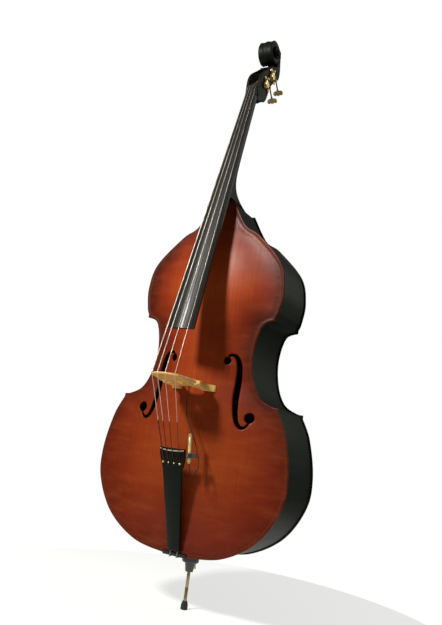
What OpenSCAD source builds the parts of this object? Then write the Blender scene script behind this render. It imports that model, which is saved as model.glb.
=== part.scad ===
// Three-quarter size double bass, stood on its endpin.
// +Z runs up along the body, -Y is the side with the strings, +X is the treble side.
// The origin is where the rubber tip of the endpin meets the floor.

/* [Body] */
// Height of the body's lower edge above the floor
body_z = 163; // [150:1:200]
// Front edge of the top plate, measured back from the endpin's axis
edge_y = -100; // [-110:1:-95]
// Height of the arch of the top over its edge
top_arch = 31; // [24:1:34]
// Height of the arch of the back over its edge
back_arch = 22; // [10:1:30]
// Thickness of the top and back plates at the edge
plate_t = 7; // [5:0.5:8]
// Thickness of the ribs
rib_t = 3; // [2:0.5:4]
// How far the plates overhang the ribs
overhang = 5; // [3:0.5:7]

/* [Neck and strings] */
// Angle of the strings back from the body's long axis
string_slope = 14.86; // [14.5:0.01:15.2]
// String spacing at the bridge
bridge_spacing = 26; // [24:0.5:27]
// String spacing at the nut
nut_spacing = 10; // [9:0.5:11]
// Thickness of the fingerboard at its centre line
board_t = 21; // [18:1:24]
// Half the width of the fingerboard at its lower end
board_end_half = 46; // [42:1:48]
// Half the width of the fingerboard at the nut
board_nut_half = 21; // [20:0.5:23]
// Half the width of the pegbox
pegbox_half = 27; // [26:1:29]
// Half the width of the opening in the pegbox
cavity_half = 18; // [17:0.5:19]

/* [Machine heads] */
// Number of teeth on each gear
gear_teeth = 18; // [14:1:22]
// Radius of each gear over its teeth
gear_r = 11.5; // [10:0.1:11.6]
// Radius of the string posts
post_r = 6.5; // [5:0.1:7]
// Radius of the worm shafts
shaft_r = 2.5; // [2:0.1:3]
// Radial clearance of each turning shaft
run_gap = 0.05; // [0.03:0.01:0.09]

/* [Endpin] */
// Radius of the endpin rod
rod_r = 5; // [4:0.5:6]
// Radius of the rubber tip
tip_r = 11; // [9:0.5:13]

/* [Pickup] */
// Outer radius of the jack barrel
jack_r = 6.5; // [6:0.1:7.5]
// Radius of the socket in the jack
jack_bore_r = 3.2; // [3.18:0.01:3.25]
// Diameter of the pickup lead
lead_d = 3; // [2.5:0.1:3.5]

/* [Hidden] */

body_len = 1110;
body_top = body_z + body_len;
rib_depth = 200;
taper_start = 450;
taper_total = 40;
joint_y = edge_y + plate_t;

// Half outline of the body as [half width, height over the lower edge], in three smooth runs
lower_run = [[30, 0], [150, 18], [256, 82], [318, 181], [327, 275], [305, 382], [275, 444]];
waist_run = [[275, 455], [250, 459], [209, 482], [182, 537], [173, 617], [192, 693], [232, 711]];
upper_run = [[232, 722], [241, 745], [249, 811], [228, 894], [141, 986], [88, 1022], [35.5, 1110]];
// Half width inside which the plates arch, as [height, half width]
arch_run = [
    [0, 20], [40, 160], [100, 255], [190, 302], [275, 311], [370, 290], [450, 232], [520, 168],
    [600, 157], [680, 168], [740, 205], [811, 232], [890, 212], [985, 125], [1030, 68], [1110, 20]
];

function clamp01(v) = max(0, min(1, v));

// Catmull-Rom point between p[i] and p[i + 1] at fraction t; the ends repeat their own points
function at(p, i) = p[max(0, min(len(p) - 1, i))];
function cr(p, i, t) =
    let (a = at(p, i - 1), b = at(p, i), c = at(p, i + 1), d = at(p, i + 2))
    0.5 * (2 * b + (c - a) * t + (2 * a - 5 * b + 4 * c - d) * t * t
        + (3 * b - a - 3 * c + d) * t * t * t);
function smooth(p, steps) = [
    for (i = [0 : len(p) - 2]) for (k = [0 : steps - 1]) cr(p, i, k / steps),
    p[len(p) - 1]
];

outline_steps = 3;
half_outline = concat(smooth(lower_run, outline_steps), smooth(waist_run, outline_steps),
    smooth(upper_run, outline_steps));
arch_table = smooth(arch_run, 4);
full_outline = concat(
    [for (p = half_outline) [p[0], p[1] + body_z]],
    [for (i = [len(half_outline) - 1 : -1 : 0]) [-half_outline[i][0], half_outline[i][1] + body_z]]
);

// Rise of a plate over its edge plane, as a fraction, at x and height h over the lower edge
function arch_along(h) = 0.5 + 0.5 * cos(180 * pow(clamp01(abs(h - 545) / 535), 2.4));
function arch_across(x, h) = 0.5 + 0.5 * cos(180 * pow(clamp01(abs(x) / lookup(h, arch_table)), 1.2));
function rise(x, h) = arch_along(h) * arch_across(x, h);
function top_y(x, h) = edge_y - top_arch * rise(x, h);
function back_edge_y(h) =
    edge_y + rib_depth - taper_total * pow(max(0, h - taper_start) / (body_len - taper_start), 1.35);
function back_y(x, h) = back_edge_y(h) + back_arch * rise(x, h);

// Strings in the order e, a, d, g: place across the bass, diameter, post centre as [y, z], the
// cheek that holds the machine, and where the turns sit on the post
string_side = [-1.5, -0.5, 0.5, 1.5];
string_d_mm = [3.0, 2.5, 2.0, 1.6];
post_at = [[32, 1785], [74, 1840], [52, 1813], [14, 1759]];
machine_side = [-1, -1, 1, 1];
wrap_x = [-11, -5, 5, 11];
wrap_turns = 3;

crown_r = 67.5;
nut_curve_r = 60;
string_top = [edge_y - 213.7, body_z + 505.8];
nut_z = body_z + 1566;
function string_y(z) = string_top[0] + (z - string_top[1]) * tan(string_slope);
function drop(x, r) = r - sqrt(r * r - x * x);
function bridge_pt(i) =
    let (x = string_side[i] * bridge_spacing)
    [x, string_top[0] + drop(x, crown_r), string_top[1]];
function nut_pt(i) =
    let (x = string_side[i] * nut_spacing)
    [x, string_y(nut_z) + drop(x, nut_curve_r), nut_z];

// Fingerboard: crown line, curve radius and half width by height
board_z0 = body_z + 646;
board_z1 = nut_z;
board_y0 = edge_y - 164.5;
board_y1 = string_y(nut_z) + 2.5;
function board_f(z) = (z - board_z0) / (board_z1 - board_z0);
function board_y(z) = board_y0 + (board_y1 - board_y0) * board_f(z);
function board_half(z) = board_end_half + (board_nut_half - board_end_half) * board_f(z);
function board_r(z) = 82 + (nut_curve_r - 82) * board_f(z);
function neck_front(z) = board_y(z) + board_t - 3 * board_f(z);

// A round tube along a path that never runs level with `up`
module tube(path, r, sides, up = [0, 1, 0]) {
    n = len(path);
    ring = function (i)
        let (t = at(path, i + 1) - at(path, i - 1), u = t / norm(t), a = cross(u, up), s = a / norm(a),
            w = cross(s, u))
        [for (k = [0 : sides - 1])
            path[i] + r * (cos(360 * k / sides) * s + sin(360 * k / sides) * w)];
    polyhedron(
        points = [for (i = [0 : n - 1]) each ring(i)],
        faces = concat(
            [[for (k = [0 : sides - 1]) k]],
            [[for (k = [sides - 1 : -1 : 0]) (n - 1) * sides + k]],
            [for (i = [0 : n - 2]) for (k = [0 : sides - 1])
                let (q = (k + 1) % sides, a = i * sides, b = (i + 1) * sides)
                each [[a + k, b + k, a + q], [a + q, b + k, b + q]]]
        ));
}

// Stands a shape drawn as [x, z] on edge, from y0 back to y1
module upright(y0, y1) {
    translate([0, y1, 0]) rotate([90, 0, 0]) linear_extrude(y1 - y0) children();
}

// Extrudes a side view drawn as [y, z] from x0 to x1
module side_view(x0, x1) {
    translate([x0, 0, 0]) rotate([90, 0, 90]) linear_extrude(x1 - x0) children();
}

// Slot with upright sides from x0 to x1, whose floor follows a string's bend at point p from `down` to `up`
module string_slot(p, down, up, depth, reach, x0, x1) {
    c = [p[1], p[2]];
    u = [up[1], up[2]] - c;
    v = [down[1], down[2]] - c;
    to_up = u / norm(u);
    to_down = v / norm(v);
    in_up = [to_up[1], -to_up[0]];
    in_down = [-to_down[1], to_down[0]];
    middle = (in_up + in_down) / norm(in_up + in_down);
    side_view(x0, x1) polygon([
        c + reach * to_up + depth * in_up,
        c + middle * depth / (middle * in_up),
        c + reach * to_down + depth * in_down,
        c + reach * to_down - reach * in_down,
        c + reach * to_up - reach * in_up
    ]);
}

// ---- plates ----

plate_columns = 9;
// Shell between a front and a back surface, given as grids of equal rows of points
module shell(front, back) {
    rows = len(front);
    cols = len(front[0]);
    pts = concat([for (r = front) for (p = r) p], [for (r = back) for (p = r) p]);
    n = rows * cols;
    faces = concat(
        [for (i = [0 : rows - 2]) for (j = [0 : cols - 2])
            each [[i * cols + j, (i + 1) * cols + j, i * cols + j + 1],
                [i * cols + j + 1, (i + 1) * cols + j, (i + 1) * cols + j + 1]]],
        [for (i = [0 : rows - 2]) for (j = [0 : cols - 2])
            each [[n + i * cols + j, n + i * cols + j + 1, n + (i + 1) * cols + j],
                [n + i * cols + j + 1, n + (i + 1) * cols + j + 1, n + (i + 1) * cols + j]]],
        [for (i = [0 : rows - 2])
            each [[i * cols, n + i * cols, (i + 1) * cols], [n + i * cols, n + (i + 1) * cols, (i + 1) * cols],
                [(i + 1) * cols - 1, (i + 2) * cols - 1, n + (i + 1) * cols - 1],
                [n + (i + 1) * cols - 1, (i + 2) * cols - 1, n + (i + 2) * cols - 1]]],
        [for (j = [0 : cols - 2])
            each [[j, j + 1, n + j], [j + 1, n + j + 1, n + j],
                [n - cols + j, 2 * n - cols + j, n - cols + j + 1],
                [n - cols + j + 1, 2 * n - cols + j, 2 * n - cols + j + 1]]]
    );
    polyhedron(points = pts, faces = faces);
}

function plate_grid(is_top, offset_y) = [
    for (p = half_outline) [
        for (j = [-plate_columns : plate_columns])
            let (x = p[0] * j / plate_columns)
            [x, (is_top ? top_y(x, p[1]) : back_y(x, p[1])) + offset_y, p[1] + body_z]
    ]
];

// f-hole of the treble side: its centre line as [x, height] and its width along the line
f_line = [
    [95, 586], [99, 596], [110, 600], [124, 592], [134, 566], [137, 530], [138, 480],
    [142, 440], [150, 407], [163, 389], [178, 389], [189, 404], [190, 417]
];
f_width = [6, 8, 10, 14, 18, 20, 20, 18, 15, 12, 9, 7, 6];
f_eyes = [[95, 581, 12], [189, 418, 16]];

module f_hole_2d() {
    line = smooth(f_line, 2);
    n = len(line);
    normals = [for (i = [0 : n - 1])
        let (v = at(line, i + 1) - at(line, i - 1)) [-v[1], v[0]] / norm(v)];
    widths = [for (i = [0 : n - 1])
        let (k = floor(i / 2)) (i % 2 == 0) ? f_width[k] : (f_width[k] + f_width[k + 1]) / 2];
    polygon(concat([for (i = [0 : n - 1]) line[i] + normals[i] * widths[i] / 2],
        [for (i = [n - 1 : -1 : 0]) line[i] - normals[i] * widths[i] / 2]));
    for (e = f_eyes) translate([e[0], e[1]]) circle(r = e[2], $fn = 32);
}

saddle_half = 39;
saddle_h = 8;
module top_plate() {
    color([0.62, 0.22, 0.10]) difference() {
        shell(plate_grid(true, 0), plate_grid(true, plate_t));
        for (s = [0, 1])
            mirror([s, 0, 0]) translate([0, 0, body_z]) upright(-150, -60) f_hole_2d();
        translate([-saddle_half, edge_y - 5, body_z - 1])
            cube([2 * saddle_half, plate_t + 10, saddle_h + 1]);
    }
}

button_r = 26;
button_rise = 12;
module back_plate() {
    button_y = back_edge_y(body_len) - plate_t;
    color([0.06, 0.07, 0.06]) {
        shell(plate_grid(false, -plate_t), plate_grid(false, 0));
        upright(button_y, button_y + plate_t)
            intersection() {
                translate([0, body_top - button_r + button_rise]) circle(r = button_r, $fn = 48);
                translate([-button_r, body_top]) square([2 * button_r, button_rise]);
            }
    }
}

// ---- ribs, linings and blocks ----

// Side view of the space between the plates
module between_plates(x0, x1) {
    side_view(x0, x1) polygon(concat(
        [[joint_y, body_z], [joint_y, body_top]],
        [for (i = [len(half_outline) - 1 : -1 : 0])
            [back_edge_y(half_outline[i][1]) - plate_t, half_outline[i][1] + body_z]]
    ));
}

module inset_outline(d) {
    offset(delta = -d) polygon(full_outline);
}

rib_out = overhang;
rib_in = overhang + rib_t;
upper_joint = body_z + 716;
lower_joint = body_z + 450;
tenon_half = 24;
side_max = 340;

// One rib: the part of the ring between two heights on one side
module rib(side, z0, z1, x_start) {
    color([0.06, 0.07, 0.06]) intersection() {
        upright(-150, 150) intersection() {
            difference() {
                inset_outline(rib_out);
                inset_outline(rib_in);
            }
            translate([side > 0 ? x_start : -side_max, z0]) square([side_max - x_start, z1 - z0]);
        }
        between_plates(-side_max, side_max);
    }
}

module rib_upper_bass() { rib(-1, upper_joint, body_top, tenon_half); }
module rib_upper_treble() { rib(1, upper_joint, body_top, tenon_half); }
module rib_waist_bass() { rib(-1, lower_joint, upper_joint, 0); }
module rib_waist_treble() { rib(1, lower_joint, upper_joint, 0); }
// The lower ribs meet at the endpin collar, and are bored for its plug
module rib_lower(side) {
    color([0.06, 0.07, 0.06]) difference() {
        rib(side, body_z, lower_joint, 0);
        translate([0, 0, body_z]) cylinder(r = plug_r, h = 20, $fn = 64);
    }
}
module rib_lower_bass() { rib_lower(-1); }
module rib_lower_treble() { rib_lower(1); }

// Areas that the blocks fill, seen from the front
block_wood_half = 75;
module corner_areas() {
    for (s = [-1, 1]) {
        translate([s * 232, upper_joint]) square([90, 70], center = true);
        translate([s * 275, lower_joint]) square([100, 76], center = true);
    }
}
module neck_area() { translate([-block_wood_half, body_top - 62]) square([2 * block_wood_half, 62]); }
module end_area() { translate([-block_wood_half, body_z]) square([2 * block_wood_half, 45]); }

module fill_between(y0, y1) {
    intersection() {
        upright(y0, y1) children();
        between_plates(-side_max, side_max);
    }
}

module corner_blocks() {
    color([0.72, 0.58, 0.38]) fill_between(-150, 150) intersection() {
        inset_outline(rib_in);
        corner_areas();
    }
}

tenon_depth = 40;
module neck_block() {
    color([0.72, 0.58, 0.38]) difference() {
        fill_between(-150, 150) intersection() {
            inset_outline(rib_in);
            neck_area();
        }
        translate([-tenon_half, -150, body_top - tenon_depth]) cube([2 * tenon_half, 300, tenon_depth + 5]);
    }
}

plug_r = 13;
module end_block() {
    color([0.72, 0.58, 0.38]) difference() {
        fill_between(-150, 150) intersection() {
            inset_outline(rib_in);
            end_area();
        }
        translate([0, 0, body_z - 10]) cylinder(r = plug_r, h = 100, $fn = 48);
    }
}

lining_w = 5;
lining_d = 18;
module lining_2d() {
    difference() {
        inset_outline(rib_in);
        inset_outline(rib_in + lining_w);
        corner_areas();
        neck_area();
        end_area();
    }
}
module top_linings() {
    color([0.72, 0.58, 0.38]) upright(joint_y, joint_y + lining_d) lining_2d();
}
module back_linings() {
    color([0.72, 0.58, 0.38]) difference() {
        fill_between(-150, 150) lining_2d();
        translate([0, -lining_d, 0]) between_plates(-side_max, side_max);
        translate([-side_max, -150, 0]) cube([2 * side_max, 120, body_top]);
    }
}

bar_x = -45;
bar_half_t = 8;
module bass_bar() {
    z0 = 230;
    z1 = 850;
    steps = 24;
    hs = [for (i = [0 : steps]) z0 + (z1 - z0) * i / steps];
    color([0.80, 0.68, 0.48]) side_view(bar_x - bar_half_t, bar_x + bar_half_t) polygon(concat(
        [for (h = hs) [top_y(bar_x, h) + plate_t - 0.2, h + body_z]],
        [for (i = [steps : -1 : 0])
            [top_y(bar_x, hs[i]) + plate_t + 6 + 26 * sin(180 * i / steps), hs[i] + body_z]]
    ));
}

post_x = 55;
post_h = 468;
module sound_post() {
    y0 = top_y(post_x, post_h) + plate_t - 0.4;
    y1 = back_y(post_x, post_h) - plate_t + 0.4;
    color([0.80, 0.68, 0.48]) translate([post_x, y1, post_h + body_z])
        rotate([90, 0, 0]) cylinder(r = 9, h = y1 - y0, $fn = 32);
}

// ---- neck, pegbox and scroll ----

heel_reach = 159;
heel_fall = 28;
neck_points = 14;
function neck_back(z) =
    board_y(z) + 38 - 5 * clamp01((z - body_top - 60) / 320)
    + heel_reach * exp(-(z - body_top) / heel_fall);
neck_zs = concat([for (h = [0, 3, 7, 12, 18, 26, 36, 50, 70, 100]) body_top + h],
    [for (k = [1 : 6]) body_top + 100 + 50 * k], [nut_z]);

module neck_shaft() {
    n = neck_points + 1;
    pts = [for (z = neck_zs)
        for (k = [0 : neck_points])
            let (a = 180 * k / neck_points)
            [board_half(z) * cos(a), neck_front(z) + (neck_back(z) - neck_front(z)) * pow(sin(a), 0.8), z]];
    rows = len(neck_zs);
    faces = concat(
        [[for (k = [0 : neck_points]) k]],
        [[for (k = [neck_points : -1 : 0]) (rows - 1) * n + k]],
        [for (i = [0 : rows - 2]) for (k = [0 : neck_points - 1])
            each [[i * n + k, (i + 1) * n + k, i * n + k + 1],
                [i * n + k + 1, (i + 1) * n + k, (i + 1) * n + k + 1]]],
        [for (i = [0 : rows - 2])
            each [[i * n + neck_points, (i + 1) * n + neck_points, i * n],
                [i * n, (i + 1) * n + neck_points, (i + 1) * n]]]
    );
    polyhedron(points = pts, faces = faces);
}

pegbox_back = [[28, 1699], [45, 1730], [53, 1763], [77, 1802], [118, 1840], [131, 1872]];
pegbox_front = [[66, 1870], [28, 1832], [-5, 1800], [-20, 1774], [-24, 1746]];
cavity = [[-70, 1739], [28, 1739], [37, 1766], [57, 1802], [98, 1844], [88, 1854], [-70, 1854]];
scroll_at = [70, 1920];
scroll_r = 50;
module pegbox_solid() {
    side_view(-pegbox_half, pegbox_half) polygon(concat(
        [[neck_front(1686), 1686]], smooth(pegbox_back, 3), [[118, 1900], [66, 1900]],
        smooth(pegbox_front, 3), [[neck_front(1739), 1739]]));
}
module scroll_solid() {
    for (t = [[scroll_r, 22], [37, 28], [23, 34], [13, 40]])
        translate([-t[1], scroll_at[0], scroll_at[1]]) rotate([0, 90, 0])
            cylinder(r = t[0], h = 2 * t[1], $fn = 64);
}

module neck_and_scroll() {
    color([0.06, 0.07, 0.06]) difference() {
        union() {
            neck_shaft();
            pegbox_solid();
            scroll_solid();
            translate([-tenon_half, joint_y, body_top - tenon_depth])
                cube([2 * tenon_half, back_edge_y(body_len) - plate_t - joint_y, tenon_depth + 1]);
        }
        side_view(-cavity_half, cavity_half) polygon(cavity);
        for (i = [0 : 3])
            translate([machine_side[i] > 0 ? -23 : -pegbox_half - 1, post_at[i][0], post_at[i][1]])
                rotate([0, 90, 0]) cylinder(r = post_r + run_gap, h = pegbox_half + 24, $fn = 32);
    }
}

// Cross-section of the fingerboard at height z, as a ring of points
board_points = 12;
function board_ring(z) = concat(
    [for (k = [0 : board_points])
        let (x = board_half(z) * (2 * k / board_points - 1))
        [x, board_y(z) + drop(x, board_r(z)), z]],
    [[board_half(z), neck_front(z), z], [-board_half(z), neck_front(z), z]]
);
module fingerboard() {
    rings = [for (k = [0 : 8]) board_ring(board_z0 + (board_z1 - board_z0) * k / 8)];
    n = len(rings[0]);
    m = len(rings);
    color([0.05, 0.06, 0.05]) polyhedron(
        points = [for (r = rings) for (p = r) p],
        faces = concat(
            [[for (k = [n - 1 : -1 : 0]) k]],
            [[for (k = [0 : n - 1]) (m - 1) * n + k]],
            [for (i = [0 : m - 2]) for (k = [0 : n - 1])
                let (q = (k + 1) % n)
                each [[i * n + k, i * n + q, (i + 1) * n + k], [i * n + q, (i + 1) * n + q, (i + 1) * n + k]]]
        ));
}

nut_len = 8;
// How far the nut's slope falls away over its length, so that every string lies in an open slot
nut_fall = 9.6;
slot_gap = 0.05;
string_sides = 12;
module nut() {
    y0 = string_y(nut_z);
    ease = nut_fall / nut_len;
    color([0.05, 0.05, 0.05]) difference() {
        intersection() {
            translate([0, y0 + nut_curve_r, nut_z]) cylinder(r = nut_curve_r, h = nut_len, $fn = 96);
            side_view(-board_nut_half, board_nut_half) polygon([
                [y0 - ease, nut_z], [y0 - ease + nut_fall, nut_z + nut_len],
                [neck_front(nut_z), nut_z + nut_len], [neck_front(nut_z), nut_z]
            ]);
        }
        for (i = [0 : 3]) {
            half = string_d_mm[i] / 2 + slot_gap;
            n = nut_pt(i);
            end_x = n[0] + (post_pt(i)[0] - n[0]) * nut_len / (post_pt(i)[2] - n[2]);
            string_slot(n, bridge_pt(i), post_pt(i), half, 3 * nut_len, min(n[0], end_x) - half,
                max(n[0], end_x) + half);
        }
    }
}

// ---- strings ----

tail_at = [0, -105, 178];
tail_tilt = 18.2;
tail_len = 304;
tail_curve_r = 75;
tail_t = 16;
function tail_to_world(p) = tail_at + [p[0], p[1] * cos(tail_tilt) - p[2] * sin(tail_tilt),
    p[1] * sin(tail_tilt) + p[2] * cos(tail_tilt)];
tail_spacing = 19;
fret_rise = 3;
function tail_pt(i) =
    let (x = string_side[i] * tail_spacing)
    tail_to_world([x, -tail_t / 2 - fret_rise - 1.6 + drop(x, tail_curve_r), tail_len - 4]);

// Where each string meets the front of the turns on its post
function wrap_r(i) = post_r + string_d_mm[i] / 2;
wrap_gap = [0.5, 0.13, 0.1, 0.5];
function post_pt(i) =
    let (n = nut_pt(i), c = post_at[i], v = [c[0] - n[1], c[1] - n[2]], d = norm(v),
        a = atan2(v[1], v[0]) + asin(wrap_r(i) / d), l = sqrt(d * d - wrap_r(i) * wrap_r(i)),
        x = wrap_x[i] - sign(wrap_x[i]) * (string_d_mm[i] * (wrap_turns + 1) / 2 + wrap_gap[i]))
    [x, n[1] + l * cos(a), n[2] + l * sin(a)];

module string(i) {
    color([0.80, 0.74, 0.74]) tube(
        [tail_pt(i), bridge_pt(i), nut_pt(i), post_pt(i)], string_d_mm[i] / 2, string_sides);
}
module string_e() { string(0); }
module string_a() { string(1); }
module string_d() { string(2); }
module string_g() { string(3); }

module string_wraps(i) {
    d = string_d_mm[i];
    color([0.80, 0.74, 0.74]) for (k = [0 : wrap_turns - 1])
        translate([wrap_x[i] + (k - (wrap_turns - 1) / 2) * d, post_at[i][0], post_at[i][1]])
            rotate([0, 90, 0]) rotate_extrude($fn = 48)
                translate([post_r + d / 2, 0]) circle(d = d, $fn = 16);
}
module string_wraps_e() { string_wraps(0); }
module string_wraps_a() { string_wraps(1); }
module string_wraps_d() { string_wraps(2); }
module string_wraps_g() { string_wraps(3); }

// ---- bridge ----

bridge_lean = 4.2;
bridge_z0 = string_top[1] - tan(bridge_lean) * (edge_y - string_top[0]);
foot_in = 38;
foot_out = 76;
function sole(x) = (edge_y - top_y(x, bridge_z0 - body_z)) / cos(bridge_lean) - 0.4;
crown_h = (edge_y - string_top[0]) / cos(bridge_lean);
bridge_right = smooth([
    [foot_out, sole(foot_out) + 6], [71, 34], [61, 42], [57, 58], [58, 76], [64, 92], [64, 110],
    [57, 124], [52, 142], [49, 165], [46.5, crown_h - drop(46.5, crown_r)]
], 2);
module bridge_2d() {
    crown = [for (x = [46 : -4 : -46]) [x, crown_h - drop(x, crown_r)]];
    arch = smooth([[foot_in, sole(foot_in)], [36, 46], [30, 62], [16, 74], [0, 78], [-16, 74], [-30, 62],
        [-36, 46], [-foot_in, sole(foot_in)]], 2);
    difference() {
        polygon(concat([[57, sole(57)], [foot_out, sole(foot_out)]], bridge_right, crown,
            [for (i = [len(bridge_right) - 1 : -1 : 0]) [-bridge_right[i][0], bridge_right[i][1]]],
            [[-foot_out, sole(foot_out)], [-57, sole(57)]],
            [for (i = [len(arch) - 1 : -1 : 0]) arch[i]]));
        for (s = [-1, 1]) {
            translate([s * 50, 112]) circle(r = 11, $fn = 32);
            translate([s * 50, 108]) square([34, 6], center = true);
            translate([s * 8, 122]) circle(r = 9, $fn = 32);
        }
        translate([0, 111]) circle(r = 6, $fn = 32);
        polygon([[-15, 120], [15, 120], [0, 96]]);
    }
}
crown_reach = 12;
slot_drift = 0.2;
module bridge() {
    color([0.80, 0.58, 0.22]) difference() {
        translate([0, edge_y, bridge_z0]) rotate([180 - bridge_lean, 0, 0]) intersection() {
            translate([0, 0, -15]) linear_extrude(30) bridge_2d();
            side_view(-90, 90)
                polygon([[0, -11], [35, -11], [crown_h + 5, -3], [crown_h + 5, 3], [35, 11], [0, 11]]);
        }
        for (i = [0 : 3]) {
            half = string_d_mm[i] / 2 + slot_gap;
            p = bridge_pt(i);
            string_slot(p, tail_pt(i), nut_pt(i), half, crown_reach, p[0] - half - slot_drift,
                p[0] + half + slot_drift);
        }
    }
}

// ---- tailpiece, saddle and tail wire ----

tail_right = smooth(
    [[20.5, 0], [23, 60], [28, 150], [32, 215], [34, 240], [40, 262], [43, 284], [43, tail_len]], 2);
wire_x = 12;
wire_r = 1.5;
module tailpiece() {
    color([0.04, 0.04, 0.04]) translate(tail_at) rotate([tail_tilt, 0, 0]) difference() {
        intersection() {
            union() {
                translate([0, tail_curve_r - tail_t / 2, 0])
                    cylinder(r = tail_curve_r, h = tail_len, $fn = 128);
                translate([0, tail_curve_r - tail_t / 2, tail_len - 6])
                    cylinder(r = tail_curve_r + fret_rise, h = 4, $fn = 128);
            }
            upright(-tail_t, tail_t / 2) polygon(concat(tail_right,
                [for (i = [len(tail_right) - 1 : -1 : 0]) [-tail_right[i][0], tail_right[i][1]]]));
        }
        for (i = [0 : 3]) {
            x = string_side[i] * tail_spacing;
            translate([x, 20, tail_len - 42]) rotate([90, 0, 0]) cylinder(r = 4, h = 40, $fn = 24);
            translate([x - 1.8, -20, tail_len - 42]) cube([3.6, 40, 30]);
        }
        for (s = [-1, 1]) translate([s * wire_x, 0, -1]) cylinder(r = wire_r, h = 31, $fn = 24);
        // Relief that clears the top's arch
        side_view(-50, 50) polygon([[2.5, -1], [tail_t, -1], [tail_t, 20], [tail_t / 2, 18], [2.5, 0]]);
    }
}

saddle_y = edge_y - 4;
module saddle() {
    color([0.04, 0.04, 0.04]) translate([-saddle_half, saddle_y, body_z - 1])
        cube([2 * saddle_half, joint_y - saddle_y, saddle_h + 1]);
}

groove_r = 20;
wire_z = body_z - 2.5;
wire_bend = 3;
module tail_wire() {
    loop_r = groove_r + wire_r;
    front_y = saddle_y - wire_r;
    top = tail_to_world([wire_x, 0, 30]);
    foot = tail_to_world([wire_x, 0, 0]);
    leg = [top, foot, [wire_x, front_y, wire_z + wire_bend],
        [wire_x, front_y + 0.3 * wire_bend, wire_z + 0.3 * wire_bend], [wire_x, front_y + wire_bend, wire_z]];
    loop = [for (a = [0 : 12 : 180]) [loop_r * cos(a), loop_r * sin(a), wire_z]];
    other = [for (k = [len(leg) - 1 : -1 : 0]) [-leg[k][0], leg[k][1], leg[k][2]]];
    color([0.5, 0.5, 0.5]) tube(concat(leg, loop, other), wire_r, string_sides, [0.8, 0, 0.6]);
}

// ---- endpin ----

collar_top = body_z + overhang;
screw_z = body_z - 41;
screw_r = 3;
collar_step = body_z - 27;
collar_low = body_z - 54;
module endpin_collar() {
    color([0.05, 0.05, 0.05]) difference() {
        union() {
            rotate_extrude($fn = 64) polygon([
                [0, collar_low], [12, collar_low], [16, collar_step - 3], [24, collar_step],
                [26, collar_step + 3], [26, body_z - 6], [groove_r, body_z - 4.5], [groove_r, body_z],
                [26, body_z + 1], [26, collar_top], [plug_r, collar_top], [plug_r, body_z + 52], [0, body_z + 52]
            ]);
            translate([0, 0, screw_z]) rotate([-90, 0, 0]) cylinder(r = 7, h = 20, $fn = 32);
        }
        translate([0, 0, collar_low - 1]) cylinder(r = rod_r + run_gap, h = 200, $fn = 48);
        translate([0, 0, screw_z]) rotate([-90, 0, 0]) cylinder(r = screw_r + run_gap, h = 40, $fn = 24);
    }
}
module thumb_screw() {
    y0 = rod_r + 0.3;
    color([0.75, 0.60, 0.30]) translate([0, y0, screw_z]) rotate([-90, 0, 0]) {
        cylinder(r = screw_r, h = 24, $fn = 24);
        translate([0, 0, 20 + 0.4 - y0 + 0.3]) cylinder(r = 5, h = 7, $fn = 32);
        translate([-2, -10, 20 - y0 + 7]) cube([4, 20, 12]);
    }
}

rod_top = body_z + 190;
tip_h = 25;
module endpin_rod() {
    color([0.60, 0.48, 0.32]) translate([0, 0, 6]) cylinder(r = rod_r, h = rod_top - 6, $fn = 48);
}
module endpin_tip() {
    color([0.05, 0.05, 0.05]) difference() {
        rotate_extrude($fn = 64) polygon([
            [0, 0], [tip_r - 2, 0], [tip_r, 2], [tip_r - 1, 16], [tip_r - 4, tip_h], [0, tip_h]]);
        translate([0, 0, 6]) cylinder(r = rod_r, h = 40, $fn = 48);
    }
}

// ---- pickup ----

jack_low = [60, -190, 430];
jack_high = [50, -190, 514];
jack_len = norm(jack_high - jack_low);
// Places children at the jack's lower end, with +Z towards its mouth
module at_jack() {
    v = jack_high - jack_low;
    translate(jack_low) rotate([0, acos(v[2] / jack_len), atan2(v[1], v[0])]) children();
}
socket_depth = 60;
module pickup_jack() {
    color([0.72, 0.55, 0.25]) at_jack() difference() {
        union() {
            cylinder(r = jack_r - 1.5, h = 6, $fn = 48);
            translate([0, 0, 6]) cylinder(r = jack_r, h = jack_len - 12, $fn = 48);
            translate([0, 0, jack_len - 6]) cylinder(r = jack_r - 1, h = 6, $fn = 48);
        }
        translate([0, 0, jack_len - socket_depth]) cylinder(r = jack_bore_r, h = socket_depth + 1, $fn = 48);
    }
}
strap_low = 16;
strap_h = 13;
module jack_strap() {
    color([0.05, 0.05, 0.05]) difference() {
        at_jack() {
            translate([0, 0, strap_low]) cylinder(r = jack_r + 1.5, h = strap_h, $fn = 48);
            translate([-22, -2, strap_low]) cube([20, 4, strap_h]);
        }
        at_jack() cylinder(r = jack_r, h = jack_len, $fn = 48);
    }
}

sensor_at = [14, -174, 654];
sensor_size = [14, 5, 9];
module pickup_sensor() {
    color([0.06, 0.06, 0.06]) translate(sensor_at - [sensor_size[0] / 2, sensor_size[1] / 2, sensor_size[2] / 2])
        cube(sensor_size);
}

// Route of the lead from the sensor down to the jack's lower end
lead_route = [
    [14, -174, 649.5], [13, -174, 635], [11, -173, 615], [12, -172, 590], [19, -173, 565], [29, -174, 545],
    [41, -174, 525], [53, -174, 505], [64, -175, 485], [74, -178, 465], [83, -182, 447], [88, -186, 430],
    [88, -189, 418], [82, -190, 409], [73, -190, 407], [65, -190, 412], [61.5, -190, 421], [60, -190, 430]
];
lead_sides = 8;
lead_step = 2;
module pickup_lead() {
    color([0.05, 0.05, 0.05]) tube(smooth(lead_route, lead_step), lead_d / 2, lead_sides);
}

// ---- machine heads ----

shaft_tilt = 47;
worm_r = 4;
gear_gap = 0.3;
centre_dist = gear_r + worm_r + gear_gap;
plate_thick = 2;
worm_out = pegbox_half + plate_thick + 7.5;
key_at = 62;
ear_at = 16;

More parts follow.
